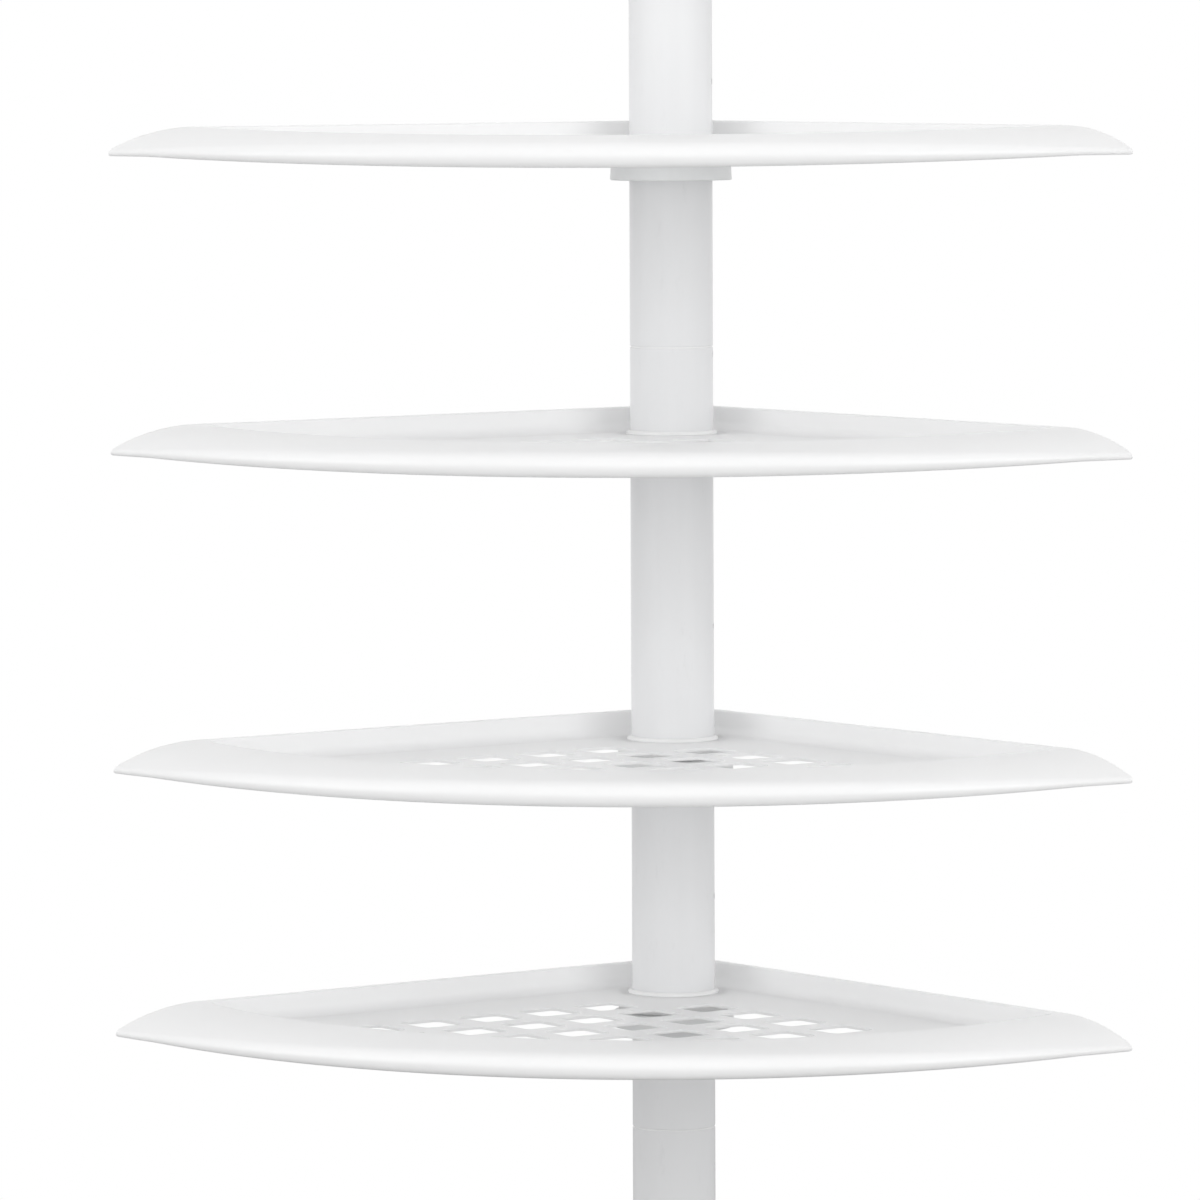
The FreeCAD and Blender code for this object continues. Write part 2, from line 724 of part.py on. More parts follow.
def make_collet_bush():
    """The bush in the pole's mouth, with four slots that let its collet close on the extension."""
    bore = f"{EXTENSION_RADIUS} + Sizes.running_clearance"
    bush = turned(
        "collet_bush",
        (
            (bore, "-Sizes.bush_depth"),
            (PLUG_RADIUS, "-Sizes.bush_depth"),
            (PLUG_RADIUS, "0"),
            (POLE_RADIUS, "0"),
            (POLE_RADIUS, "Sizes.bush_flange"),
            (COLLET_RADIUS, "Sizes.bush_flange"),
            (COLLET_TIP_RADIUS, COLLET_TOP),
            (bore, COLLET_TOP),
        ),
        POLE_TOP,
    )
    sketch = sketch_on(bush, "XZ_Plane")
    half = "Sizes.collet_slot / 2"
    low = "2 * Sizes.bush_flange"
    high = f"{COLLET_TOP} + {SURPLUS}"
    draw_loop(sketch, ((half, low), (half, high), (f"-({half})", high), (f"-({half})", low)))
    slot = cut_feature(
        bush, "Pocket", sketch, SideType="Symmetric", Length="2 * Sizes.pole_diameter"
    )
    repeat_feature(
        bush,
        "PolarPattern",
        slot,
        Axis=(sketch, ["V_Axis"]),
        Angle=f"{FULL_TURN / 2 / COLLET_SLOT_PAIRS}",
        Occurrences=COLLET_SLOT_PAIRS,
    )


def make_lock_ring():
    """The grooved ring that closes the collet when it is turned."""
    outer = "Sizes.lock_ring_diameter / 2"
    clear = "Sizes.loose_clearance"
    shoulder = f"Sizes.lock_ring_skirt + Sizes.bush_flange + {clear}"
    edge = "Sizes.pad_edge"
    ring = turned(
        "lock_ring",
        (
            (f"{POLE_RADIUS} + {clear}", "0"),
            (f"{outer} - {edge}", "0"),
            (outer, edge),
            (outer, f"{LOCK_RING_HEIGHT} - 2 * {edge}"),
            (f"{outer} - 2 * {edge}", LOCK_RING_HEIGHT),
            (f"{EXTENSION_RADIUS} + 2 * {clear}", LOCK_RING_HEIGHT),
            (f"{EXTENSION_RADIUS} + 2 * {clear}", LOCK_RING_BORE_TOP),
            (f"{COLLET_TIP_RADIUS} + {clear}", LOCK_RING_BORE_TOP),
            (f"{COLLET_RADIUS} + {clear}", shoulder),
            (f"{POLE_RADIUS} + {clear}", shoulder),
        ),
        LOCK_RING_FOOT,
    )
    sketch = sketch_on(ring, "XY_Plane", LOCK_RING_HEIGHT)
    draw_circle(sketch, "Sizes.grip_groove_radius", (f"{outer} + Sizes.grip_groove_radius / 2", "0"))
    depth = f"{LOCK_RING_HEIGHT} - 3 * {edge}"
    groove = cut_feature(ring, "Pocket", sketch, Length=depth)
    repeat_feature(
        ring,
        "PolarPattern",
        groove,
        Axis=(sketch, ["N_Axis"]),
        Angle=str(FULL_TURN),
        Occurrences=GRIP_GROOVES,
    )


def make_extension():
    """The extension tube, its guide shoe at the foot and its bush at the head."""
    tube = make_tube(
        "extension_tube",
        EXTENSION_FOOT,
        "Sizes.extension_length",
        EXTENSION_RADIUS,
        f"{EXTENSION_RADIUS} - Sizes.extension_wall",
    )
    sketch = sketch_on(tube, "YZ_Plane")
    draw_circle(sketch, "Sizes.seat_pin_diameter / 2 + Sizes.running_clearance", ("0", PIN_HEIGHT))
    cut_feature(tube, "Pocket", sketch, SideType="Symmetric", Length="2 * Sizes.pole_diameter")
    bore = "Sizes.shoe_bore / 2"
    turned(
        "guide_shoe",
        (
            (bore, "-Sizes.shoe_height"),
            (PLUG_RADIUS, "-Sizes.shoe_height"),
            (PLUG_RADIUS, "0"),
            (EXTENSION_PLUG, "0"),
            (EXTENSION_PLUG, "Sizes.shoe_spigot"),
            (bore, "Sizes.shoe_spigot"),
        ),
        EXTENSION_FOOT,
    )
    stem_bore = "Sizes.stem_diameter / 2 + Sizes.running_clearance"
    turned(
        "end_bush",
        (
            (stem_bore, "-Sizes.end_bush_depth"),
            (EXTENSION_PLUG, "-Sizes.end_bush_depth"),
            (EXTENSION_PLUG, "0"),
            (EXTENSION_RADIUS, "0"),
            (EXTENSION_RADIUS, "Sizes.end_bush_flange"),
            (stem_bore, "Sizes.end_bush_flange"),
        ),
        EXTENSION_TOP,
    )


# ---------------------------------------------------------------------------- the sprung head

def make_spring_seat():
    """The plug that the spring stands on, and the pin that holds it across the extension tube."""
    seat = turned(
        "spring_seat",
        (
            ("0", "0"),
            (EXTENSION_PLUG, "0"),
            (EXTENSION_PLUG, "Sizes.seat_thickness"),
            ("0", "Sizes.seat_thickness"),
        ),
        f"{EXTENSION_FOOT} + Sizes.seat_height",
    )
    sketch = sketch_on(seat, "YZ_Plane")
    hole = "Sizes.seat_pin_diameter / 2 + Sizes.running_clearance"
    draw_circle(sketch, hole, ("0", "Sizes.seat_thickness / 2"))
    cut_feature(seat, "Pocket", sketch, SideType="Symmetric", Length="2 * Sizes.pole_diameter")
    pin = doc.addObject("Part::Cylinder", "seat_pin")
    pin.Label = "seat_pin"
    pin.setExpression("Radius", "Sizes.seat_pin_diameter / 2")
    pin.setExpression("Height", "Sizes.extension_diameter - 2 * Sizes.seat_pin_inset")
    pin.Placement.Rotation = FreeCAD.Rotation(FreeCAD.Vector(0, 1, 0), 90)
    pin.setExpression("Placement.Base.x", f"Sizes.seat_pin_inset - {EXTENSION_RADIUS}")
    pin.setExpression("Placement.Base.z", f"{EXTENSION_FOOT} + {PIN_HEIGHT}")


def make_spring():
    """The compression spring between the seat and the stem's flange."""
    body = new_body("tension_spring", SEAT_TOP)
    sketch = sketch_on(body, "XZ_Plane")
    coil = "(Sizes.spring_diameter - Sizes.spring_wire) / 2"
    draw_circle(sketch, "Sizes.spring_wire / 2", (coil, "Sizes.spring_wire / 2 + Sizes.stop_gap"))
    helix = add_feature(
        body,
        "AdditiveHelix",
        sketch,
        Mode="pitch-height-angle",
        ReferenceAxis=(sketch, ["V_Axis"]),
        Pitch=f"{SPRING_RISE} / Sizes.spring_turns",
        Height=SPRING_RISE,
    )
    helix.Angle = 0
    doc.recompute()


def make_stem():
    """The sprung stem: a pilot in the spring, a flange under the end bush and the rod above it."""
    rod = "Sizes.stem_diameter / 2"
    flange = "Sizes.stem_flange_diameter / 2"
    pilot = "Sizes.stem_pilot_diameter / 2"
    flange_foot = "-Sizes.stem_flange_height"
    pilot_foot = "-(Sizes.stem_flange_height + Sizes.stem_pilot_length)"
    rod_top = f"{STEM_RISE} + Sizes.head_socket_depth"
    turned(
        "head_stem",
        (
            ("0", pilot_foot),
            (pilot, pilot_foot),
            (pilot, flange_foot),
            (flange, flange_foot),
            (flange, "0"),
            (rod, "0"),
            (rod, rod_top),
            ("0", rod_top),
        ),
        STEM_FLANGE_TOP,
    )


def make_head():
    """The moulded ceiling cap on the stem, and its rubber pad."""
    socket = "Sizes.stem_diameter / 2 + Sizes.running_clearance"
    hub = "Sizes.head_hub_diameter / 2"
    rim = "Sizes.head_diameter / 2"
    shoulder = "Sizes.head_height - Sizes.head_rim"
    turned(
        "ceiling_cap",
        (
            (socket, "0"),
            (f"{hub} - Sizes.pad_edge", "0"),
            (hub, "Sizes.pad_edge"),
            (hub, "Sizes.head_hub_height"),
            (f"{rim} - Sizes.pad_edge", shoulder),
            (rim, f"{shoulder} + Sizes.pad_edge"),
            (rim, "Sizes.head_height"),
            ("0", "Sizes.head_height"),
            ("0", "Sizes.head_socket_depth"),
            (socket, "Sizes.head_socket_depth"),
        ),
        HEAD_FOOT,
    )
    pad = "Sizes.ceiling_pad_diameter / 2"
    turned(
        "ceiling_pad",
        (
            ("0", "0"),
            (f"{pad} - Sizes.pad_edge", "0"),
            (pad, "Sizes.pad_edge"),
            (pad, "Sizes.ceiling_pad_height - Sizes.pad_edge"),
            (f"{pad} - Sizes.pad_edge", "Sizes.ceiling_pad_height"),
            ("0", "Sizes.ceiling_pad_height"),
        ),
        f"{HEAD_FOOT} + Sizes.head_height",
    )


# ---------------------------------------------------------------------------- check and write

def sub_parts():
    """Every object that is a piece of the unit: the bodies and the one pin."""
    return [each for each in doc.Objects if each.TypeId in ("PartDesign::Body", "Part::Cylinder")]


def check_model():
    """Stop if any object failed to compute or any piece is not one sound solid."""
    for each in doc.Objects:
        if "Invalid" in each.State or "Error" in each.State:
            raise RuntimeError(f"{each.Label} did not compute: {each.State}")
    for piece in sub_parts():
        shape = piece.Shape
        if shape.isNull() or not shape.isValid() or len(shape.Solids) != 1:
            raise RuntimeError(f"{piece.Label} is not one valid solid")


def write_parts():
    """Write each piece to a STEP file under its own name."""
    os.makedirs("parts", exist_ok=True)
    for piece in sub_parts():
        piece.Shape.exportStep(f"parts/{piece.Label}.step")
        print(f"{piece.Label}: {piece.Shape.Volume:.0f} mm3")


fill_sheet()
make_foot()
make_pole()
make_joiners()
make_shelves()
make_collet_bush()
make_lock_ring()
make_extension()
make_spring_seat()
make_spring()
make_stem()
make_head()
doc.recompute()
check_model()
write_parts()
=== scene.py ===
"""Dresses the tension pole shelf unit: its trays, pole, fittings and finishes, and the studio round it.

Lengths in the classes are in millimetres; every mesh that leaves this file is in metres.
"""
import logging
from dataclasses import dataclass
from enum import Enum
from math import atan2, cos, hypot, pi, radians, sin, sqrt, tan, tau

import bmesh
import bpy
from bpy.types import ID, Material, NodeSocket, NodeTree, Object
from mathutils import Matrix, Vector


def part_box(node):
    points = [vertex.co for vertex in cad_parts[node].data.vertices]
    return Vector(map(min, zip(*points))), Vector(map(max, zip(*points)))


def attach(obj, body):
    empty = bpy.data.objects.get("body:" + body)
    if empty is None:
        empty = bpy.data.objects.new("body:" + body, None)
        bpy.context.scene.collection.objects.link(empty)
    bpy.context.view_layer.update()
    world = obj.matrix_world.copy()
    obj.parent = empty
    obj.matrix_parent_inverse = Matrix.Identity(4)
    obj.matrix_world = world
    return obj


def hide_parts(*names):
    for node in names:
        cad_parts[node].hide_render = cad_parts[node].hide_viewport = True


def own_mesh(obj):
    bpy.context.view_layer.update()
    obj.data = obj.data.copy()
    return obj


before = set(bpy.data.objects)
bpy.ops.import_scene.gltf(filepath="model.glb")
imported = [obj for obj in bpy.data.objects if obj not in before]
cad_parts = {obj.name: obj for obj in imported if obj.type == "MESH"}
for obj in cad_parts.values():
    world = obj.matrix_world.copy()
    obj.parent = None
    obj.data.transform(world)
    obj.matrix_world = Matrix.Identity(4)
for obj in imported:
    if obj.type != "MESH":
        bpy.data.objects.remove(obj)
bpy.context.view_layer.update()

LOG = logging.getLogger("shelf_unit")
MM = 0.001
# The spans of a rounded corner, and the most of a side that it may take.
ROUND_STEPS, ROUND_SHARE = 5, 0.48
WHITE = (1.0, 1.0, 1.0, 1.0)
Point = tuple[float, float, float]
Station = tuple[float, float]
Line = list[Station]
Ring = list[Point]
# A radius, a height and, where the corner is round, its rounding.
Corner = tuple[float, ...]


# ---- finishes


class Slot(Enum):
    """The record's material slots."""

    TRAY = "tray"
    TUBE = "tube"
    FITTING = "fitting"
    LINER = "liner"
    RUBBER = "rubber"
    STEEL = "steel"


class Graph:
    """A node tree, and the steps that build materials, the world and patterns."""

    FAMILY = "ShaderNode"

    def __init__(self, tree: NodeTree) -> None:
        """Take the tree to build in."""
        self.nodes, self.links = tree.nodes, tree.links

    def feed(self, entry: NodeSocket, source: object) -> None:
        """Link an input to a socket, or set its own value.

        Args:
            entry: the input.
            source: a socket or a value.
        """
        if isinstance(source, NodeSocket):
            self.links.new(source, entry)
        else:
            entry.default_value = source

    def node(self, kind: str, inputs: dict, output: object = 0, **settings: object) -> NodeSocket:
        """Add one node.

        Args:
            kind: the node's class, in full or without its family's start.
            inputs: a value or a socket for each input, by name or number.
            output: the name or number of the output that is wanted.
            settings: the node's own properties.

        Returns:
            The wanted output.
        """
        made = self.nodes.new(kind if "Node" in kind else self.FAMILY + kind)
        for key, setting in settings.items():
            setattr(made, key, setting)
        for key, source in inputs.items():
            self.feed(made.inputs[key], source)
        return made.outputs[output]

    def maths(self, operation: str, first: object, second: object) -> NodeSocket:
        """One arithmetic operation on two numbers."""
        return self.node("ShaderNodeMath", {0: first, 1: second}, operation=operation)


class ShaderGraph(Graph):
    """A material's node tree, with the few kinds of node that the finishes use."""

    def __init__(self, name: str, colour: Point, roughness: float) -> None:
        """Start a material with a Principled shader on Object coordinates.

        Args:
            name: the material's name.
            colour: its main colour.
            roughness: its main roughness.
        """
        self.colour, self.roughness = colour, roughness
        self.material = bpy.data.materials.new(name)
        self.material.use_nodes = True
        super().__init__(self.material.node_tree)
        self.shader = self.nodes["Principled BSDF"]
        self.place = self.node("TexCoord", {}, "Object")

    def stretched(self, *scale: float) -> NodeSocket:
        """Object coordinates scaled along each axis."""
        return self.node("Mapping", {"Vector": self.place, "Scale": scale})

    def noise(self, scale: float, detail: float, rough: float = 0.5, place: object = None) -> NodeSocket:
        """A noise value of the given scale per metre, between 0 and 1."""
        source = {"Vector": place or self.place, "Scale": scale}
        return self.node("TexNoise", {**source, "Detail": detail, "Roughness": rough})

    def spread(self, value: object, low: float, high: float, to: Station = (0.0, 1.0)) -> NodeSocket:
        """A value mapped from one range to another and held there."""
        limits = {"From Min": low, "From Max": high, "To Min": to[0], "To Max": to[1]}
        return self.node("MapRange", {"Value": value, **limits})

    def blend(self, amount: NodeSocket, first: object, second: object) -> NodeSocket:
        """Two colours mixed by an amount."""
        return self.node("Mix", {0: amount, 6: first, 7: second}, 2, data_type="RGBA")

    def bump(self, *layers: tuple[NodeSocket, float]) -> None:
        """Stack bumps on the shader's normal.

        Args:
            layers: each a height source and its depth in metres.
        """
        below = {}
        for height, depth in layers:
            inputs = {"Height": height, "Distance": depth, "Strength": 1.0, **below}
            below = {"Normal": self.node("Bump", inputs)}
        self.coat(**below)

    def coat(self, **sources: object) -> None:
        """Feed the shader's inputs, with underscores for the spaces in their names."""
        for key, source in sources.items():
            self.feed(self.shader.inputs[key.replace("_", " ")], source)

    def shade(self, factor: float) -> tuple[float, ...]:
        """The main colour made lighter or darker by a factor, with full alpha."""
        return (*(part * factor for part in self.colour), 1.0)

    def mottle(self, amount: NodeSocket, dark: float, light: float) -> NodeSocket:
        """The main colour, from a darker to a lighter shade by an amount."""
        return self.blend(amount, self.shade(dark), self.shade(light))

    def sheen(self, amount: NodeSocket, span: Station, below: float, above: float) -> NodeSocket:
        """The roughness, from below to above the main one as an amount crosses a span."""
        return self.spread(amount, *span, (self.roughness - below, self.roughness + above))


@dataclass(frozen=True)
class Finish:
    """A finish of one of the unit's pieces."""

    name: str
    colour: Point
    roughness: float

    def make(self) -> Material:
        """Build the material.

        Returns:
            The finished material.
        """
        graph = ShaderGraph(self.name, self.colour, self.roughness)
        graph.material.diffuse_color = graph.shade(1.0)
        self.texture(graph)
        return graph.material

    def texture(self, graph: ShaderGraph) -> None:
        """Fill in the shader; each kind of finish has its own way."""
        raise NotImplementedError


@dataclass(frozen=True)
class GlossMoulding(Finish):
    """Glossy injection-moulded plastic: faint flow clouds, dulled patches and fine ripple."""

    cloud: float = 0.99
    worn: float = 1.008
    dulling: float = 0.1
    polish: float = -0.03
    depth: float = 0.004

    def texture(self, graph: ShaderGraph) -> None:
        """Cloud the colour and the gloss, polish the edges and ripple the surface.

        Args:
            graph: the tree to fill in.
        """
        flow = graph.noise(14.0, 3.0, 0.5, graph.stretched(1.0, 1.0, 3.0))
        handled = graph.noise(55.0, 4.0, 0.55)
        body = graph.mottle(graph.spread(flow, 0.1, 0.9), self.cloud, 1.0)
        polished = graph.spread(graph.node("NewGeometry", {}, "Pointiness"), 0.52, 0.6)
        dulled = graph.sheen(handled, (0.25, 0.75), 0.0, self.dulling)
        graph.coat(
            Base_Color=graph.blend(polished, body, graph.shade(self.worn)),
            Roughness=graph.maths("ADD", dulled, graph.maths("MULTIPLY", polished, self.polish)),
            IOR=1.5,
            Subsurface_Weight=0.8,
            Subsurface_Radius=(1.0, 1.0, 1.0),
            Subsurface_Scale=self.depth,
            Coat_Weight=0.15,
            Coat_Roughness=0.12,
        )
        ripple = graph.noise(120.0, 1.0)
        grain = graph.noise(2600.0, 1.0)
        graph.bump((ripple, 0.00001), (grain, 0.000002))


@dataclass(frozen=True)
class Enamel(Finish):
    """Stoved white enamel on steel tube: orange peel, long faint scuffs and a soft gloss."""

    streak: float = 0.985
    scuff: float = 0.95
    dulling: float = 0.16

    def texture(self, graph: ShaderGraph) -> None:
        """Add drawn streaks, scuffs that dull the gloss and a fine orange peel.

        Args:
            graph: the tree to fill in.
        """
        streaks = graph.noise(90.0, 4.0, 0.6, graph.stretched(1.0, 1.0, 0.06))
        rubs = graph.noise(240.0, 6.0, 0.7, graph.stretched(1.0, 1.0, 0.25))
        worn = graph.spread(rubs, 0.6, 0.75)
        base = graph.mottle(graph.spread(streaks, 0.4, 0.65), self.streak, 1.0)
        graph.coat(
            Base_Color=graph.blend(worn, base, graph.shade(self.scuff)),
            Roughness=graph.sheen(worn, (0.0, 1.0), 0.0, self.dulling),
            Specular_IOR_Level=0.12,
        )
        graph.bump((graph.noise(520.0, 2.0), 0.000012), (rubs, 0.000006))


@dataclass(frozen=True)
class SatinMoulding(Finish):
    """Satin moulded plastic with a spark-eroded grain and slightly polished high spots."""

    grain: float = 0.00002

    def texture(self, graph: ShaderGraph) -> None:
        """Grain the surface, cloud its colour and polish what hands touch.

        Args:
            graph: the tree to fill in.
        """
        cloud = graph.noise(70.0, 4.0, 0.6)
        grain = graph.noise(1700.0, 3.0, 0.6)
        graph.coat(
            Base_Color=graph.mottle(graph.spread(cloud, 0.35, 0.7), 0.955, 1.01),
            Roughness=graph.sheen(cloud, (0.3, 0.7), 0.07, 0.06),
        )
        graph.bump((cloud, 0.00005), (grain, self.grain))


@dataclass(frozen=True)
class Rubber(Finish):
    """Matt rubber with a bloom of dust and a fine pitted skin."""

    def texture(self, graph: ShaderGraph) -> None:
        """Dust the colour and pit the skin.

        Args:
            graph: the tree to fill in.
        """
        bloom = graph.noise(180.0, 6.0, 0.65)
        spots = {"Vector": graph.place, "Scale": 900.0}
        pits = graph.node("TexVoronoi", spots, feature="SMOOTH_F1")
        graph.coat(
            Base_Color=graph.mottle(graph.spread(bloom, 0.4, 0.7), 0.9, 1.12),
            Roughness=graph.sheen(bloom, (0.3, 0.7), 0.08, 0.0),
            Specular_IOR_Level=0.3,
        )
        graph.bump((pits, 0.00006), (bloom, 0.0001))


@dataclass(frozen=True)
class ZincSteel(Finish):
    """Zinc-plated steel: turned lines, spangle and a soft metallic sheen."""

    def texture(self, graph: ShaderGraph) -> None:
        """Turn fine lines round the axis and mottle the plating.

        Args:
            graph: the tree to fill in.
        """
        lines = graph.noise(900.0, 2.0, 0.5, graph.stretched(0.05, 0.05, 1.0))
        spangle = graph.noise(420.0, 3.0, 0.6)
        graph.coat(
            Base_Color=graph.mottle(spangle, 0.86, 1.05),
            Metallic=1.0,
            Roughness=graph.sheen(lines, (0.3, 0.7), 0.08, 0.1),
        )
        graph.bump((lines, 0.000015), (spangle, 0.00001))


class Palette:
    """Every finish of the unit, made once and handed out by slot."""

    FINISHES = {
        Slot.TRAY: GlossMoulding("white gloss moulding", (0.982, 0.984, 0.988), 0.32),
        Slot.TUBE: Enamel("white stoved enamel", (0.84, 0.843, 0.85), 0.3),
        Slot.FITTING: SatinMoulding("light grey satin moulding", (0.9, 0.91, 0.91), 0.42),
        Slot.LINER: SatinMoulding("natural moulding", (0.92, 0.92, 0.92), 0.38),
        Slot.RUBBER: Rubber("light grey rubber", (0.34, 0.35, 0.36), 0.86),
        Slot.STEEL: ZincSteel("zinc plated steel", (0.66, 0.67, 0.68), 0.38),
    }

    def __init__(self) -> None:
        """Make the materials."""
        self.materials = {slot: finish.make() for slot, finish in self.FINISHES.items()}

    def dress(self, obj: Object, slot: Slot) -> None:
        """Give an object one finish all over.

        Args:
            obj: the object to dress.
            slot: the finish.
        """
        obj.data.materials.clear()
        obj.data.materials.append(self.materials[slot])
        for face in obj.data.polygons:
            face.material_index = 0


# ---- mesh tools


def add_object(name: str, data: ID) -> Object:
    """Put a new object into the scene.

    Args:
        name: its name.
        data: its mesh, light or camera.

    Returns:
        The new object.
    """
    obj = bpy.data.objects.new(name, data)
    bpy.context.scene.collection.objects.link(obj)
    return obj


def new_object(name: str, bm: bmesh.types.BMesh) -> Object:
    """Turn a bmesh in millimetres into a smooth-shaded object at the origin, in metres.

    Args:
        name: the object's name.
        bm: the mesh, which is freed.

    Returns:
        The new object.
    """
    bmesh.ops.recalc_face_normals(bm, faces=bm.faces)
    bmesh.ops.scale(bm, vec=(MM, MM, MM), verts=bm.verts)
    for face in bm.faces:
        face.smooth = True
    mesh = bpy.data.meshes.new(name)
    bm.to_mesh(mesh)
    bm.free()
    return add_object(name, mesh)


def skin(name: str, rings: list[Ring], looped: bool = False) -> Object:
    """Stretch a closed skin over rings of points; a ring on the axis may be a single point.

    Args:
        name: the object's name.
        rings: the rings in order, in millimetres.
        looped: whether the last ring joins the first, or else each of the two gets a face.

    Returns:
        The new object.
    """
    bm = bmesh.new()
    size = max(len(ring) for ring in rings)
    rows = [[bm.verts.new(point) for point in ring] * (size // len(ring)) for ring in rings]
    for row, following in zip(rows, rows[1:] + rows[: int(looped)]):
        for side in range(size):
            loop = (row[side - 1], row[side], following[side], following[side - 1])
            corners = list(dict.fromkeys(loop))
            if len(corners) > 2:
                bm.faces.new(corners)
    if not looped:
        bm.faces.new(rows[0])
        bm.faces.new(rows[-1])
    return new_object(name, bm)


def rounded(before: Corner, corner: Corner, after: Corner) -> Line:
    """Round one corner of an outline between its two neighbours.

    Args:
        before: the corner before it.
        corner: the corner itself.
        after: the corner after it.

    Returns:
        (radius, height) points.
    """
    here = Vector(corner[:2])
    if len(corner) < 3:
        return [(here.x, here.y)]
    back, on = Vector(before[:2]) - here, Vector(after[:2]) - here
    half = back.angle(on) / 2
    reach = min(corner[2] / tan(half), ROUND_SHARE * back.length, ROUND_SHARE * on.length)
    radius = reach * tan(half)
    back, on = back.normalized(), on.normalized()
    middle = here + (back + on).normalized() * (radius / sin(half))
    start = here + back * reach - middle
    turn = start.angle_signed(here + on * reach - middle)
    turns = [-turn * step / ROUND_STEPS for step in range(ROUND_STEPS + 1)]
    spokes = [Matrix.Rotation(angle, 2) @ start for angle in turns]
    return [(middle.x + spoke.x, middle.y + spoke.y) for spoke in spokes]


def turned(name: str, outline: list[Corner], base: float, segments: int = 96) -> Object:
    """Spin a closed outline about the pole's axis.

    Args:
        name: the object's name.
        outline: the corners in order round the section.
        base: the height that the outline's zero stands at.
        segments: how many faces go round.

    Returns:
        The turned object.
    """
    rings = []
    for index, corner in enumerate(outline):
        after = outline[(index + 1) % len(outline)]
        for radius, height in rounded(outline[index - 1], corner, after):
            count = segments if radius > 0.0 else 1
            turns = [tau * step / segments for step in range(count)]
            ring = [(radius * cos(turn), radius * sin(turn), base + height) for turn in turns]
            rings.append(ring)
    return skin(name, rings, looped=True)


def on_foot(node: str, outline: list[Corner], segments: int = 96) -> Object:
    """Turn an outline on the foot of the CAD node that it is to stand for."""
    low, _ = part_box(node)
    return turned(f"{node}_dressed", outline, low.z / MM, segments)


class Pattern(Graph):
    """A Geometry Nodes tree that cuts or adds what repeats on a piece."""

    FAMILY = "GeometryNode"

    def __init__(self, name: str) -> None:
        """Start a tree with a geometry input and output.

        Args:
            name: the tree's name.
        """
        self.tree = bpy.data.node_groups.new(name, "GeometryNodeTree")
        self.tree.is_modifier = True
        for way in ("INPUT", "OUTPUT"):
            self.tree.interface.new_socket("Geometry", in_out=way, socket_type="NodeSocketGeometry")
        super().__init__(self.tree)
        self.entry = self.nodes.new("NodeGroupInput")
        self.exit = self.nodes.new("NodeGroupOutput")
        self.sizes: dict[str, float] = {}

    def count(self, name: str, amount: float, kind: str = "Int") -> NodeSocket:
        """Add a named number to the tree's inputs.

        Args:
            name: its name.
            amount: its value.
            kind: the kind of its socket.

        Returns:
            The number's socket.
        """
        self.tree.interface.new_socket(name, in_out="INPUT", socket_type="NodeSocket" + kind)
        self.sizes[name] = amount
        return self.entry.outputs[name]

    def size(self, name: str, amount: float) -> NodeSocket:
        """Add a named size, given in millimetres, to the tree's inputs."""
        return self.count(name, amount * MM, "Float")

    def vector(self, x: object = 0.0, y: object = 0.0, z: object = 0.0) -> NodeSocket:
        """A vector from three numbers."""
        return self.node("ShaderNodeCombineXYZ", {"X": x, "Y": y, "Z": z})

    def carve(self, *cutters: NodeSocket) -> NodeSocket:
        """Take cutters away from the piece.

        Args:
            cutters: the shapes to take away.

        Returns:
            The piece that is left.
        """
        piece = {"Mesh 1": self.entry.outputs["Geometry"]}
        left = self.node("MeshBoolean", piece, operation="DIFFERENCE", solver="EXACT")
        for cutter in cutters:
            self.links.new(cutter, left.node.inputs["Mesh 2"])
        return left

    def repeat(self, points: NodeSocket, shape: NodeSocket, **turn: object) -> NodeSocket:
        """Real copies of a shape on points, all turned alike."""
        placed = self.node("InstanceOnPoints", {"Points": points, "Instance": shape, **turn})
        return self.node("RealizeInstances", {0: placed})

    def apply(self, obj: Object, result: NodeSocket, coat: Material) -> None:
        """Run the tree on an object and keep the result as its plain mesh.

        Args:
            obj: the object to change.
            result: the geometry that the tree ends with.
            coat: the material that the result gets.
        """
        coated = self.node("SetMaterial", {"Geometry": result, "Material": coat})
        smooth = self.node("SetShadeSmooth", {"Geometry": coated, "Shade Smooth": True})
        self.links.new(smooth, self.exit.inputs["Geometry"])
        modifier = obj.modifiers.new("Pattern", "NODES")
        modifier.node_group = self.tree
        for item in self.tree.interface.items_tree:
            if item.in_out == "INPUT" and item.name in self.sizes:
                modifier[item.identifier] = self.sizes[item.name]
        view = bpy.context.evaluated_depsgraph_get()
        mesh = bpy.data.meshes.new_from_object(obj.evaluated_get(view))
        obj.modifiers.remove(modifier)
        obj.data = mesh


@dataclass
class Assembly:
    """A sub-assembly of the unit."""

    palette: Palette

    SHARP_ANGLE = 38.0
    FLAT_WEIGHT = 80

    def settle(self, obj: Object, slot: Slot, body: str, node: str) -> None:
        """Dress a piece, let it stand for its CAD node and ride on its body, and report it.

        Args:
            obj: the piece.
            slot: its finish.
            body: the body that it rides on.
            node: the CAD node that it stands for.
        """
        self.palette.dress(obj, slot)
        obj.data.set_sharp_from_angle(angle=radians(self.SHARP_ANGLE))
        weigh = obj.modifiers.new("Flat faces", "WEIGHTED_NORMAL")
        weigh.keep_sharp = True
        weigh.weight = self.FLAT_WEIGHT
        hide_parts(node)
        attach(obj, body)
        LOG.info("%s: %d faces, rides on %s", obj.name, len(obj.data.polygons), body)

    def fitting(self, node: str, slot: Slot, body: str, outline: list[Corner]) -> None:
        """Turn a fitting that needs no cutting, and settle it."""
        self.settle(on_foot(node, outline), slot, body, node)


# ---- the trays


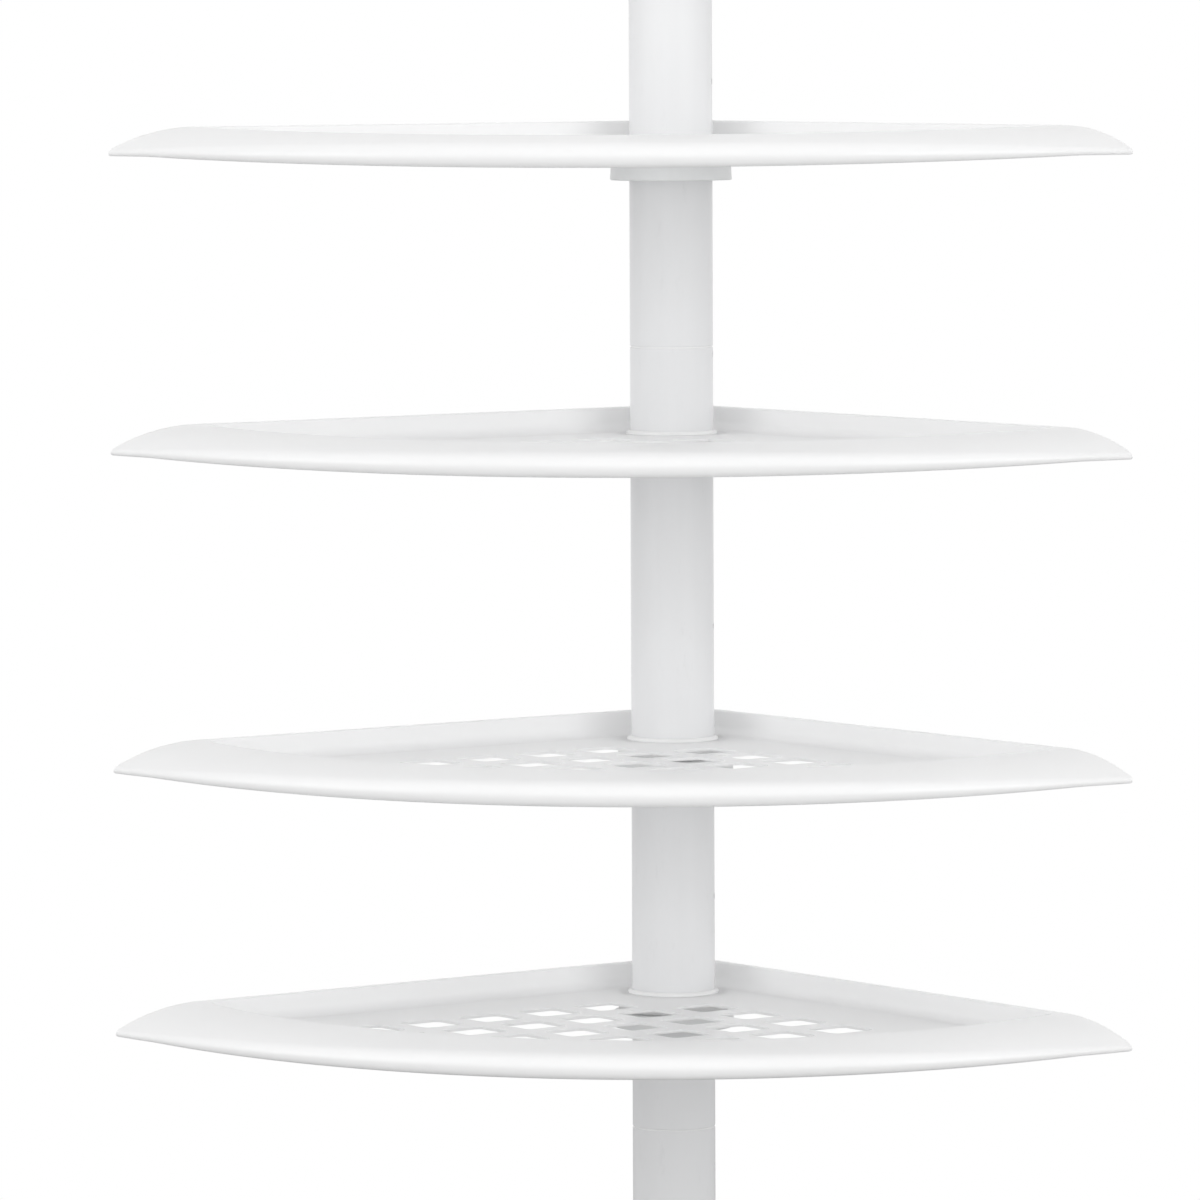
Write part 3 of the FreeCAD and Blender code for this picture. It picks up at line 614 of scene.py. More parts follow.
def between(start: Station, stop: Station, part: float, whole: float) -> Station:
    """The point that lies part / whole of the way from start to stop."""
    return tuple(first + (last - first) * part / whole for first, last in zip(start, stop))


def along(start: Station, stop: Station, steps: int) -> Line:
    """Even points from start towards stop, without the last."""
    return [between(start, stop, step, steps) for step in range(steps)]


def arc(centre: Station, radius: float, first: float, last: float, steps: int) -> Line:
    """Even points on an arc from the first angle towards the last, without the last."""
    turns = [first + (last - first) * step / steps for step in range(steps)]
    return [(centre[0] + radius * cos(turn), centre[1] + radius * sin(turn)) for turn in turns]


@dataclass
class PlanRing:
    """One closed line round a tray, seen from above: two legs, a round corner and a front arc.

    The legs are inset from the outer walls, and the back corner and the two tips are rounded.
    """

    leg_inset: float
    arc_centre: float
    arc_radius: float
    back_round: float
    tip_round: float

    CORNER_SETBACK = 40.0
    EIGHTH = pi / 4
    TURN_ANGLE = radians(4.5)
    BACK, LEG, TAIL, TIP, TURN, FRONT = 6, 10, 14, 6, 8, 44

    def tip(self) -> tuple[float, float, float]:
        """Find the right tip's rounding.

        Returns:
            The x and y of its centre, and the angle at which it meets the front arc.
        """
        line = self.CORNER_SETBACK - (self.leg_inset + self.tip_round) * sqrt(2.0)
        away = line - self.arc_centre
        reach = self.arc_radius - self.tip_round
        across = (away + sqrt(2.0 * reach * reach - away * away)) / 2.0
        down = line - across
        return across, down, atan2(down - self.arc_centre, across)

    def stations(self, joint: float | None = None) -> Line:
        """List the points from the back corner round the right leg, the front and the left leg.

        Args:
            joint: how far out the front rim begins on the leg, or None on a ring that turns the
                corner there.

        Returns:
            The points, the same number on every ring.
        """
        line = self.CORNER_SETBACK - self.leg_inset * sqrt(2.0)
        start = self.back_round / sqrt(2.0)
        across, down, meet = self.tip()
        stop = across + self.tip_round / sqrt(2.0)
        centre, tip = (0.0, self.arc_centre), (across, down)
        back = (0.0, line - self.back_round * sqrt(2.0))
        half = arc(back, self.back_round, 2 * self.EIGHTH, self.EIGHTH, self.BACK)
        if joint is None:
            corner = self.TAIL + self.TIP + self.TURN
            half += along((start, line - start), (stop, line - stop), self.LEG)
            half += arc(tip, self.tip_round, self.EIGHTH, meet, corner)
        else:
            turn = meet - self.TURN_ANGLE
            half += along((start, line - start), (joint, line - joint), self.LEG)
            half += along((joint, line - joint), (stop, line - stop), self.TAIL)
            half += arc(tip, self.tip_round, self.EIGHTH, meet, self.TIP)
            half += arc(centre, self.arc_radius, meet, turn, self.TURN)
            meet = turn
        half += arc(centre, self.arc_radius, meet, -2 * self.EIGHTH, self.FRONT)
        nose = (0.0, self.arc_centre - self.arc_radius)
        return half + [nose] + [(-x, y) for x, y in reversed(half[1:])]


@dataclass
class Nose:
    """The bull-nose section at one place of a tray's front rim."""

    low: float
    widest: float
    depth: float
    under: float
    sweep: float
    rise: float = 0.0


@dataclass
class CornerTray:
    """A quarter-round tray: low walls, a crowned front rim and a floor pierced on a lattice.

    The nose fields shape the rim's bull-nose as shares of its height: where it is widest, how
    far its upper half reaches in over a base depth, and how far its lower half is undercut.
    """

    reach: float = 266.7
    back_round: float = 10.1
    tip_round: float = 1.8
    rim_start: float = 162.7
    wall_height: float = 9.3
    wall_thickness: float = 2.8
    floor_thickness: float = 1.0
    floor_fillet: float = 4.0
    lip_radius: float = 0.9
    hollow_round: float = 9.0
    crest_round: float = 8.0
    crest_radius: float = 202.72
    crest_centre: float = -1.78
    rim_joint: float = -122.7
    rim_tilt: float = 1.5
    rim_land: float = 3.0
    crown_radius: float = 88.0
    skirt_depth: float = 4.1
    skirt_wall: float = 3.0
    skirt_edge: float = 2.8
    skirt_run: float = 62.0
    foot_round: float = 0.45
    nose_level: float = 0.52
    nose_base: float = 1.7
    nose_depth: float = 0.8
    nose_under: float = 0.3
    nose_sweep: float = 75.0
    hub_radius: float = 21.0
    hub_depth: float = 7.0
    bore_radius: float = 17.475
    drain_pitch: float = 27.0
    drain_lead: float = 30.0
    drain_side: float = 18.4
    drain_corner: float = 2.2
    drain_margin: float = 30.0
    drain_chamfer: float = 0.35
    drain_cut: float = 3.0

    FIT_ROUNDS = 12
    LOWER_ANGLES = (86, 68, 50, 34, 20, 8)
    NOSE_STEPS, CREST_STEPS, LIP_STEPS = 10, 12, 6
    # The distances over which a line's shift and the top's slope are probed.
    PROBE, FIT_STEP = 8.0, 0.01
    # The least slope of the crown, and how far the legs' rings stay above the skirt's edge.
    LEAST_SLOPE, LEAST_LEG, LEG_RISE = 0.02, 0.5, 0.02

    def top(self, x: float, y: float) -> float:
        """Find how high the walls' and the rim's top face lies.

        Args:
            x: the place, seen from above.
            y: the same.

        Returns:
            The height there.
        """
        fall = min(0.0, y - self.rim_joint) * tan(radians(self.rim_tilt))
        outward = hypot(x, y - self.crest_centre) - self.crest_radius
        crown = 0.0
        if outward > 0.0 and y < self.rim_joint:
            crown = self.crown_radius - sqrt(self.crown_radius**2 - outward**2)
        return self.wall_height + fall - crown

    def bottom(self, y: float) -> float:
        """The height of the skirt's lower edge, which dips towards the front."""
        dip = max(0.0, PlanRing.CORNER_SETBACK - self.reach + self.skirt_run - y) / self.skirt_run
        return -self.floor_thickness - dip * (self.skirt_depth - self.floor_thickness)

    def outer(self, leg: float, front: float) -> Line:
        """The outer wall's line moved inwards by a distance on the legs and one on the front."""
        plan = (PlanRing.CORNER_SETBACK, self.reach - front, self.back_round - leg, self.tip_round)
        return PlanRing(leg, *plan).stations(self.rim_start)

    def hollow(self, leg: float, radius: float, turn: float) -> Line:
        """The hollow's line: the legs' inset, the front arc's radius and the corner rounding."""
        return PlanRing(leg, self.crest_centre, radius, turn, turn).stations()

    def inner(self, out: float, turn: float) -> Line:
        """The hollow's line where it is wider by a distance, with corners rounder by another."""
        radius = self.crest_radius - self.rim_land + out
        return self.hollow(self.wall_thickness - out, radius, self.hollow_round + turn)

    def nose(self, place: Station, crest: Station) -> Nose:
        """Fit the bull-nose of the front rim between the skirt's edge and the crown.

        Args:
            place: a point of the outer line, seen from above.
            crest: the point of the crest that belongs to it.

        Returns:
            The section's sizes there.
        """
        x, y = place
        away = hypot(crest[0] - x, crest[1] - y)
        in_x, in_y = (crest[0] - x) / away, (crest[1] - y) / away
        low = self.bottom(y)
        tall = self.top(x, y) - low
        depth = self.nose_base + self.nose_depth * tall
        sweep = radians(self.nose_sweep)
        nose = Nose(low, low + self.nose_level * tall, depth, self.nose_under * tall, sweep)
        step = self.FIT_STEP
        for _ in range(self.FIT_ROUNDS):
            inset = nose.depth * (1.0 - cos(nose.sweep))
            end_x, end_y = x + in_x * inset, y + in_y * inset
            height = self.top(end_x, end_y)
            nose.rise = (height - nose.widest) / sin(nose.sweep)
            slope = (self.top(end_x + in_x * step, end_y + in_y * step) - height) / step
            nose.sweep = atan2(nose.rise, nose.depth * max(slope, self.LEAST_SLOPE))
        return nose

    def drawn_in(self, leg: float, fronts: list[float]) -> Line:
        """The outer line moved in by a distance on the legs and one for each front station."""
        rows = zip(self.outer(leg, 0.0), self.outer(leg, self.PROBE), fronts)
        return [between(place, inside, front, self.PROBE) for place, inside, front in rows]

    @staticmethod
    def raised(line: Line, legs: list[float], fronts: list[float]) -> Ring:
        """Raise a line to one height on its legs and another on the front.

        Args:
            line: the stations, seen from above.
            legs: the height of each if it belonged to a leg.
            fronts: the height of each if it belonged to the front.

        Returns:
            The ring, whose tips lead from the one to the other.
        """
        plain = PlanRing.BACK + PlanRing.LEG + PlanRing.TAIL
        tip = [step / PlanRing.TIP for step in range(PlanRing.TIP)]
        full = [1.0] * (2 * (PlanRing.TURN + PlanRing.FRONT) + 1)
        share = [0.0] * plain + tip + full + tip[::-1] + [0.0] * (plain - 1)
        rows = zip(line, legs, fronts, share)
        return [(x, y, leg + (front - leg) * own) for (x, y), leg, front, own in rows]

    def rim_rings(self) -> list[Ring]:
        """Lead from the skirt's edge up the outer face and over the crown to the crest.

        Returns:
            The rings.
        """
        crest = self.hollow(self.wall_thickness / 2, self.crest_radius, self.crest_round)
        noses = [self.nose(place, aim) for place, aim in zip(self.outer(0.0, 0.0), crest)]
        wall = self.outer(self.skirt_wall, self.skirt_wall)
        edge = self.outer(self.skirt_edge, self.skirt_edge)
        rings = [
            [(x, y, -self.floor_thickness) for x, y in wall],
            [(x, y, self.bottom(y)) for x, y in edge],
        ]
        for angle in self.LOWER_ANGLES:
            sine, inset = sin(radians(angle)), 1.0 - cos(radians(angle))
            line = self.drawn_in(self.foot_round * inset, [each.under * inset for each in noses])
            legs = [self.bottom(y) + self.foot_round * (1.0 - sine) for _, y in line]
            fronts = [each.widest - (each.widest - each.low) * sine for each in noses]
            rings.append(self.raised(line, legs, fronts))
        for step in range(self.NOSE_STEPS + 1):
            part = step / self.NOSE_STEPS
            angle = part * pi / 2
            insets = [each.depth * (1.0 - cos(part * each.sweep)) for each in noses]
            line = self.drawn_in(self.lip_radius * (1.0 - cos(angle)), insets)
            drop = self.lip_radius * (1.0 - sin(angle))
            least = self.LEAST_LEG + self.LEG_RISE * part
            legs = [max(self.top(x, y) - drop, self.bottom(y) + least) for x, y in line]
            fronts = [each.widest + each.rise * sin(part * each.sweep) for each in noses]
            rings.append(self.raised(line, legs, fronts))
        whole = self.CREST_STEPS
        for step in range(1, whole + 1):
            inward = [between(place, aim, step, whole) for place, aim in zip(line, crest)]
            rings.append([(x, y, self.top(x, y)) for x, y in inward])
        return rings

    def hollow_rings(self) -> list[Ring]:
        """Lead over the inner lip, down the inner wall and through the floor's fillet.

        Returns:
            The rings.
        """
        rings = []
        turns = [pi / 2 * step / self.LIP_STEPS for step in range(self.LIP_STEPS + 1)]
        tops = [self.top(x, y) for x, y in self.inner(self.lip_radius, self.lip_radius)]
        for angle in turns:
            out = self.lip_radius * (1 - sin(angle))
            drop = self.lip_radius * (1 - cos(angle))
            line = zip(self.inner(out, out), tops)
            rings.append([(x, y, high - drop) for (x, y), high in line])
        for angle in turns:
            into = self.floor_fillet * (1 - cos(angle))
            height = self.floor_fillet * (1 - sin(angle))
            rings.append([(x, y, height) for x, y in self.inner(-into, -0.6 * into)])
        return rings

    def lattice(self) -> tuple[Pattern, NodeSocket]:
        """Pierce the floor by rounded squares on a square lattice along the legs.

        Returns:
            The pattern and the geometry that it ends with.
        """
        tree = Pattern("drain lattice")
        lead = self.drain_lead * sqrt(0.5)
        radius = self.crest_radius - self.drain_margin
        pitch = tree.size("Pitch", self.drain_pitch)
        side = tree.size("Side", self.drain_side)
        depth = tree.size("Depth", self.drain_cut)
        rows = tree.count("Rows", int((radius - lead) / self.drain_pitch) + 1)
        extent = tree.maths("MULTIPLY", tree.maths("SUBTRACT", rows, 1.0), pitch)
        half = tree.maths("ADD", tree.maths("MULTIPLY", extent, 0.5), tree.size("Lead", lead))
        square = {"Size X": extent, "Size Y": extent, "Vertices X": rows, "Vertices Y": rows}
        grid = {"Geometry": tree.node("MeshGrid", square), "Translation": tree.vector(half, half)}
        points = tree.node("MeshToPoints", {"Mesh": tree.node("Transform", grid)})
        place = {0: tree.node("InputPosition", {})}
        away = tree.node("ShaderNodeVectorMath", place, "Value", operation="LENGTH")
        outside = tree.maths("GREATER_THAN", away, tree.size("Field", radius))
        clearance = tree.size("Hub clearance", self.hub_radius + self.drain_side)
        unwanted = tree.maths("ADD", outside, tree.maths("LESS_THAN", away, clearance))
        choice = {"Geometry": points, "Selection": unwanted}
        kept = tree.node("DeleteGeometry", choice, domain="POINT")
        square = tree.node("CurvePrimitiveQuadrilateral", {"Width": side, "Height": side})
        corner = {"Radius": tree.size("Corner", self.drain_corner), "Limit Radius": True}
        rounds = {"Curve": square, **corner, "Count": 5}
        profile = tree.node("FilletCurve", rounds, mode="POLY")
        flared = tree.maths("MULTIPLY", tree.size("Chamfer", self.drain_chamfer), 2.0)
        axes = []
        for end in (depth, flared):
            start = tree.vector(z=tree.maths("MULTIPLY", end, -1.0))
            axes.append(tree.node("CurvePrimitiveLine", {"Start": start, "End": tree.vector(z=end)}))
        ends = tree.maths("MULTIPLY", tree.node("InputIndex", {}), 4.0)
        ends = tree.maths("SUBTRACT", ends, 1.0)
        flare = tree.maths("MULTIPLY", ends, tree.maths("DIVIDE", flared, side))
        flare = tree.maths("ADD", flare, 1.0)
        axes[1] = tree.node("SetCurveRadius", {"Curve": axes[1], "Radius": flare})
        cutters = []
        for line in axes:
            sweep = {"Curve": line, "Profile Curve": profile, "Fill Caps": True}
            placed = tree.repeat(kept, tree.node("CurveToMesh", sweep))
            turn = {"Geometry": placed, "Rotation": (0.0, 0.0, radians(225.0))}
            cutters.append(tree.node("Transform", turn))
        bore = {"Radius": tree.size("Bore", self.bore_radius), "Vertices": 96}
        pillar = tree.node("MeshCylinder", {**bore, "Depth": tree.maths("MULTIPLY", depth, 4.0)})
        return tree, tree.carve(*cutters, pillar)

    def build(self, coat: Material) -> Object:
        """Make the pierced tray with its hub, with its floor at zero height.

        Args:
            coat: its finish.

        Returns:
            The tray, not yet lifted to its place.
        """
        tray = skin("corner_tray", self.rim_rings() + self.hollow_rings())
        tree, result = self.lattice()
        tree.apply(tray, result, coat)
        bore, wall = self.bore_radius, self.hub_radius
        low, high = -self.hub_depth, -self.floor_thickness / 2
        hub = turned("hub", [(bore, low, 0.3), (wall, low, 0.6), (wall, high), (bore, high)], 0.0)
        bm = bmesh.new()
        for piece in (tray, hub):
            bm.from_mesh(piece.data)
        bm.to_mesh(tray.data)
        bm.free()
        bpy.data.objects.remove(hub)
        return tray


@dataclass
class TraySet(Assembly):
    """The four like trays, each on its own body."""

    count: int = 4

    def build(self) -> None:
        """Make one tray and settle a copy of it at each height."""
        tray = CornerTray()
        pattern = tray.build(self.palette.materials[Slot.TRAY])
        for number in range(1, self.count + 1):
            node, name = f"shelf_{number}", f"tray_{number}"
            low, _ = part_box(node)
            mesh = pattern.data.copy()
            mesh.transform(Matrix.Translation((0.0, 0.0, low.z + tray.hub_depth * MM)))
            self.settle(add_object(name, mesh), Slot.TRAY, name, node)
        bpy.data.objects.remove(pattern)


# ---- the pole


@dataclass
class TubeSection(Assembly):
    """A length of thin-walled enamelled tube with pairs of index holes through it."""

    node: str
    body: str
    first_hole: float = 0.0
    holes: int = 0
    pitch: float = 104.0
    hole_radius: float = 1.2
    drill_length: float = 60.0
    wall: float = 1.0
    edge: float = 0.25

    def pierce(self, tube: Object) -> None:
        """Cut the row of index holes right through the tube.

        Args:
            tube: the plain tube.
        """
        tree = Pattern("index holes")
        start = tree.vector(z=tree.size("First height", self.first_hole))
        offset = tree.vector(z=tree.size("Pitch", self.pitch))
        row = {"Count": tree.count("Count", self.holes), "Start Location": start, "Offset": offset}
        radius = tree.size("Radius", self.hole_radius)
        length = tree.size("Drill length", self.drill_length)
        drill = tree.node("MeshCylinder", {"Vertices": 24, "Radius": radius, "Depth": length})
        bored = tree.repeat(tree.node("MeshLine", row), drill, Rotation=(0.0, pi / 2, 0.0))
        tree.apply(tube, tree.carve(bored), self.palette.materials[Slot.TUBE])

    def build(self) -> None:
        """Make the tube between the heights of its CAD node."""
        low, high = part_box(self.node)
        radius, length = high.x / MM, (high.z - low.z) / MM
        inside = radius - self.wall
        section = ((inside, 0.0), (radius, 0.0), (radius, length), (inside, length))
        outline = [(*corner, self.edge) for corner in section]
        tube = on_foot(self.node, outline, 128)
        if self.holes:
            self.pierce(tube)
        self.settle(tube, Slot.TUBE, self.body, self.node)


@dataclass
class Pole(Assembly):
    """The four tube sections and what joins them."""

    first_hole: float = 74.6
    pitch: float = 104.0

    HOLES = {"base_tube": 3, "lower_tube": 3, "middle_tube": 3, "upper_tube": 2}

    def build(self) -> None:
        """Make the sections and finish the joiners inside them."""
        passed = 0
        for node, holes in self.HOLES.items():
            height = self.first_hole + passed * self.pitch
            TubeSection(self.palette, node, "pole", height, holes, self.pitch).build()
            passed += holes
        for number in range(1, len(self.HOLES)):
            self.palette.dress(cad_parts[f"joiner_{number}"], Slot.LINER)


# ---- the fittings


@dataclass
class Pad(Assembly):
    """A round rubber pad, with a fine groove round the middle of its edge."""

    node: str
    body: str
    radius: float = 28.0
    height: float = 4.0
    groove: float = 0.4
    half_groove: float = 0.5

    def build(self) -> None:
        """Turn the pad."""
        radius, height, middle = self.radius, self.height, self.height / 2
        outline = [
            (0.0, 0.0), (radius, 0.0, 1.2), (radius, middle - self.half_groove, 0.2),
            (radius - self.groove, middle, 0.2), (radius, middle + self.half_groove, 0.2),
            (radius, height, 1.2), (0.0, height),
        ]
        self.fitting(self.node, Slot.RUBBER, self.body, outline)


@dataclass
class Carrier(Assembly):
    """The round collar under a tray and the split sleeve that it wedges on."""

    number: int
    bore: float = 15.925
    mouth: float = 17.375
    foot: float = 18.175
    height: float = 14.4
    mouth_fall: float = 0.7
    slope: float = 0.75
    collar: float = 23.3
    flare: float = 0.4
    collar_height: float = 6.0
    play: float = 0.05
    slot_width: float = 3.0

    def build(self) -> None:
        """Make both pieces."""
        body = f"carrier_{self.number}"
        top, tall = self.collar_height, self.height
        collar = [
            (self.foot + self.play, 0.0, 0.3), (self.collar, 0.0, 0.5),
            (self.collar - self.flare, top, 0.5), (self.mouth + self.play, top, 0.2),
        ]
        self.fitting(f"collar_{self.number}", Slot.FITTING, body, collar)
        sleeve = [
            (self.bore, 0.0), (self.foot, 0.0, 0.2), (self.mouth, top),
            (self.mouth, tall - self.mouth_fall, 0.3), (self.mouth - self.slope, tall, 0.3),
            (self.bore, tall, 0.1),
        ]
        node = f"grip_sleeve_{self.number}"
        piece = on_foot(node, sleeve)
        self.split(piece, node)
        self.settle(piece, Slot.LINER, body, node)

    def split(self, sleeve: Object, node: str) -> None:
        """Cut the slot down the sleeve's back.

        Args:
            sleeve: the plain sleeve.
            node: its CAD node.
        """
        low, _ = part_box(node)
        tree = Pattern("sleeve slot")
        width = tree.size("Slot width", self.slot_width)
        deep = tree.size("Depth", self.bore * 2)
        tall = tree.size("Length", self.height)
        size = tree.vector(width, deep, tree.maths("MULTIPLY", tall, 2.0))
        half = tree.maths("MULTIPLY", tall, 0.5)
        middle = tree.vector(0.0, deep, tree.maths("ADD", tree.size("Height", low.z / MM), half))
        block = {"Geometry": tree.node("MeshCube", {"Size": size}), "Translation": middle}
        slot = tree.node("Transform", block)
        tree.apply(sleeve, tree.carve(slot), self.palette.materials[Slot.LINER])


@dataclass
class Foot(Assembly):
    """The rubber pad and the moulded socket that the pole stands in."""

    flange: float = 26.0
    flange_height: float = 5.0
    socket: float = 18.925
    bore: float = 15.925
    floor: float = 6.0
    height: float = 32.0

    def build(self) -> None:
        """Make the pad and the socket."""
        Pad(self.palette, "foot_pad", "pole").build()
        cap = [
            (0.0, 0.0), (self.flange, 0.0, 0.5), (self.flange, self.flange_height, 1.4),
            (self.socket, self.flange_height, 2.0), (self.socket, self.height, 1.3),
            (self.bore, self.height, 0.3), (self.bore, self.floor), (0.0, self.floor),
        ]
        self.fitting("foot_cap", Slot.FITTING, "pole", cap)


@dataclass
class TopClamp(Assembly):
    """The grooved lock ring and the collet bush that it closes."""

    radius: float = 20.0
    skirt: float = 16.175
    shoulder: float = 10.3
    collet: float = 15.5
    tip: float = 14.5
    bore_top: float = 26.3
    throat: float = 13.3
    height: float = 29.8
    grooves: int = 18
    groove_radius: float = 1.6
    groove_start: float = 3.0

    def grip(self, ring: Object, foot: float) -> None:
        """Cut the finger grooves round the ring.

        Args:
            ring: the plain ring.
            foot: the height of its lower face.
        """
        tree = Pattern("grip grooves")
        count = tree.count("Grooves", self.grooves)
        radius = tree.size("Groove radius", self.groove_radius)
        tall = tree.size("Groove length", self.height)
        around = tree.size("Ring radius", self.radius + self.groove_radius / 2)
        low = tree.size("Lowest", foot + self.groove_start)
        circle = tree.node("MeshCircle", {"Vertices": count, "Radius": around})
        cutter = tree.node("MeshCylinder", {"Vertices": 20, "Radius": radius, "Depth": tall})
        lift = tree.maths("ADD", low, tree.maths("MULTIPLY", tall, 0.5))
        grooves = {"Geometry": tree.repeat(circle, cutter), "Translation": tree.vector(z=lift)}
        rest = tree.carve(tree.node("Transform", grooves))
        tree.apply(ring, rest, self.palette.materials[Slot.FITTING])

    def build(self) -> None:
        """Make the ring and finish the bush inside it."""
        low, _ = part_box("lock_ring")
        outline = [
            (self.skirt, 0.0, 0.3), (self.radius, 0.0, 1.0), (self.radius, self.height, 2.2),
            (self.throat, self.height, 0.5), (self.throat, self.bore_top),
            (self.tip, self.bore_top), (self.collet, self.shoulder), (self.skirt, self.shoulder),
        ]
        ring = on_foot("lock_ring", outline, 144)
        self.grip(ring, low.z / MM)
        self.settle(ring, Slot.FITTING, "lock", "lock_ring")
        self.palette.dress(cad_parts["collet_bush"], Slot.LINER)


@dataclass
class CoilSpring(Assembly):
    """The compression spring in the extension tube, made at one length; the real one shortens as the
    head sinks.
    """

    wire: float = 2.2
    diameter: float = 19.8
    turns: int = 11
    steps: int = 40
    sides: int = 14
    travel: float = 22.0

    def build(self) -> None:
        """Wind the wire at an even pitch."""
        low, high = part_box("tension_spring")
        length = (high[2] - low[2]) / MM
        start = low[2] / MM + self.wire / 2
        count = self.turns * self.steps
        up = Vector((0.0, 0.0, 1.0))
        sides = [tau * side / self.sides for side in range(self.sides)]
        rings = []
        for step in range(count + 1):
            turn = tau * step / self.steps
            out = Vector((cos(turn), sin(turn), 0.0))
            height = start + (length - self.wire) * step / count
            middle = out * (self.diameter - self.wire) / 2 + up * height
            spokes = [out * cos(side) + up * sin(side) for side in sides]
            rings.append([middle + spoke * self.wire / 2 for spoke in spokes])
        spring = skin("tension_spring_dressed", rings)
        self.settle(spring, Slot.STEEL, "extension", "tension_spring")
        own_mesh(spring)


@dataclass
class SprungHead(Assembly):
    """The extension tube with its bushes, and the stem, cap and pad that the spring lifts."""

    bore: float = 8.05
    plug: float = 11.65
    tube: float = 12.7
    plug_height: float = 18.0
    bush_height: float = 20.0
    tail: float = 5.0
    tail_length: float = 20.0
    flange: float = 11.3
    flange_top: float = 24.0
    rod: float = 8.0
    stem_height: float = 79.6
    hub: float = 13.0
    hub_height: float = 5.0
    cap: float = 26.0
    cap_edge: float = 14.0
    cap_height: float = 18.0
    socket_depth: float = 12.0

    def build(self) -> None:
        """Make the moving top, and finish what is inside."""
        TubeSection(self.palette, "extension_tube", "extension").build()
        bush = [
            (self.bore, 0.0, 0.2), (self.plug, 0.0, 0.3), (self.plug, self.plug_height),
            (self.tube, self.plug_height, 0.1), (self.tube, self.bush_height, 0.6),
            (self.bore, self.bush_height, 0.3),
        ]
        self.fitting("end_bush", Slot.LINER, "extension", bush)
        stem = [
            (0.0, 0.0), (self.tail, 0.0, 0.8), (self.tail, self.tail_length),
            (self.flange, self.tail_length, 0.4), (self.flange, self.flange_top, 0.4),
            (self.rod, self.flange_top), (self.rod, self.stem_height, 0.5),
            (0.0, self.stem_height),
        ]
        self.fitting("head_stem", Slot.STEEL, "head", stem)
        cap = [
            (self.bore, 0.0, 0.2), (self.hub, 0.0, 1.0), (self.hub, self.hub_height, 2.5),
            (self.cap, self.cap_edge, 1.2), (self.cap, self.cap_height, 0.4),
            (0.0, self.cap_height), (0.0, self.socket_depth), (self.bore, self.socket_depth),
        ]
        self.fitting("ceiling_cap", Slot.FITTING, "head", cap)
        Pad(self.palette, "ceiling_pad", "head").build()
        inside = {"guide_shoe": Slot.LINER, "spring_seat": Slot.LINER, "seat_pin": Slot.STEEL}
        for node, slot in inside.items():
            self.palette.dress(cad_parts[node], slot)
        CoilSpring(self.palette).build()


# ---- the studio


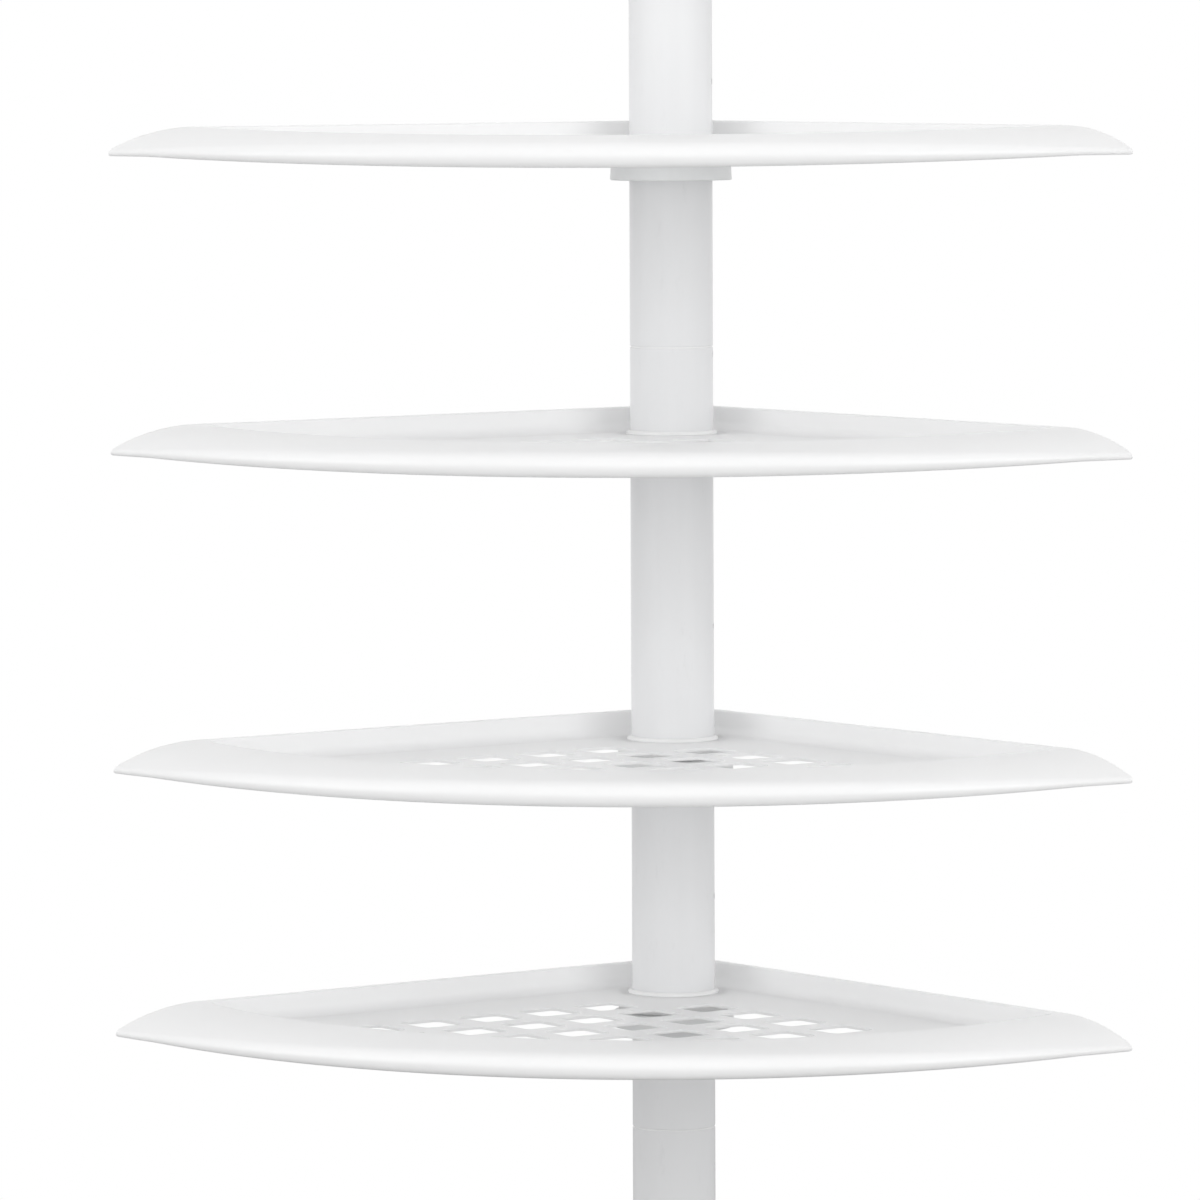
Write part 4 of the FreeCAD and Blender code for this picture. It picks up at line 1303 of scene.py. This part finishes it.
@dataclass
class Studio:
    """The pale floor, the soft lights and the camera; its lengths are in metres."""

    camera_place: Point = (0.4072, -3.0088, 1.0355)
    heading: float = 8.23
    pitch: float = 4.2
    roll: float = -0.23
    lens: float = 238.41
    floor_radius: float = 6.0
    floor_tone: float = 0.42
    floor_glow: float = 0.5
    fade_from: float = 1.0
    fade_to: float = 2.4
    backdrop: float = 1.0
    ambient: float = 0.7

    # Each panel's place, size and power in watts.
    PANELS = {
        "left": ((-2.7, -2.0, 1.4), (2.2, 2.2), 29.0),
        "right": ((2.7, -2.0, 1.4), (2.2, 2.2), 34.0),
        "front": ((0.0, -3.4, 1.9), (2.4, 2.2), 12.0),
    }
    AIM = (0.0, 0.0, 0.8)

    def set_camera(self) -> None:
        """Place the long lens that looks slightly down and to the left."""
        data = bpy.data.cameras.new("camera")
        data.lens = self.lens
        data.sensor_width = 36.0
        data.clip_start = 0.05
        data.clip_end = 50.0
        place = Matrix.Translation(self.camera_place)
        for angle, axis in ((self.heading, "Z"), (90.0 - self.pitch, "X"), (self.roll, "Z")):
            place = place @ Matrix.Rotation(radians(angle), 4, axis)
        camera = add_object("camera", data)
        camera.matrix_world = place
        bpy.context.scene.camera = camera

    def set_floor(self) -> None:
        """Lay the pale floor, which fades to the background's white at its edge."""
        bm = bmesh.new()
        bmesh.ops.create_circle(bm, cap_ends=True, radius=self.floor_radius / MM, segments=96)
        floor = new_object("floor", bm)
        graph = ShaderGraph("pale floor", WHITE[:3], 0.9)
        tone = graph.shade(self.floor_tone)
        graph.coat(Base_Color=tone, Roughness=graph.roughness, Specular_IOR_Level=0.0)
        away = graph.node("VectorMath", {0: graph.place}, "Value", operation="LENGTH")
        fade = graph.spread(away, self.fade_from, self.fade_to, (self.floor_glow, 1.0))
        white = graph.node("Emission", {"Color": WHITE, "Strength": 1.0})
        amount = graph.maths("MULTIPLY", fade, graph.node("LightPath", {}, "Is Camera Ray"))
        mix = graph.node("MixShader", {0: amount, 1: graph.shader.outputs[0], 2: white})
        graph.feed(graph.nodes["Material Output"].inputs["Surface"], mix)
        floor.data.materials.append(graph.material)

    def set_world(self) -> None:
        """White where the camera or a reflection looks, soft grey light elsewhere."""
        world = bpy.data.worlds.new("studio")
        world.use_nodes = True
        bpy.context.scene.world = world
        graph = Graph(world.node_tree)
        seen = graph.node("LightPath", {}, "Is Camera Ray")
        path = seen.node
        for ray in ("Is Glossy Ray", "Is Transmission Ray"):
            seen = graph.maths("MAXIMUM", seen, path.outputs[ray])
        levels = {"Value": seen, "To Min": self.ambient, "To Max": self.backdrop}
        background = graph.nodes["Background"]
        graph.feed(background.inputs["Strength"], graph.node("MapRange", levels))
        graph.feed(background.inputs["Color"], WHITE)

    def add_panel(self, name: str, place: Point, size: Station, power: float) -> None:
        """Hang one soft rectangular light that faces the middle of the unit.

        Args:
            name: the light's name.
            place: where it hangs.
            size: its width and height.
            power: its power in watts.
        """
        data = bpy.data.lights.new(name, "AREA")
        data.shape = "RECTANGLE"
        data.size, data.size_y = size
        data.energy = power
        aim = Vector(self.AIM) - Vector(place)
        turn = aim.to_track_quat("-Z", "Y").to_matrix().to_4x4()
        add_object(name, data).matrix_world = Matrix.Translation(place) @ turn

    def build(self) -> None:
        """Set the floor, the world, the lights and the camera."""
        self.set_floor()
        self.set_world()
        for name, panel in self.PANELS.items():
            self.add_panel(name, *panel)
        self.set_camera()
        bpy.context.scene.view_settings.view_transform = "Standard"


def main() -> None:
    """Build the unit's sub-assemblies in order, then the studio."""
    logging.basicConfig(level=logging.INFO, format="%(name)s: %(message)s")
    palette = Palette()
    assemblies = [TraySet(palette), Pole(palette)]
    assemblies += [Carrier(palette, number) for number in range(1, 5)]
    assemblies += [Foot(palette), TopClamp(palette), SprungHead(palette)]
    for assembly in assemblies:
        assembly.build()
    Studio().build()


if __name__ == "__main__":
    main()
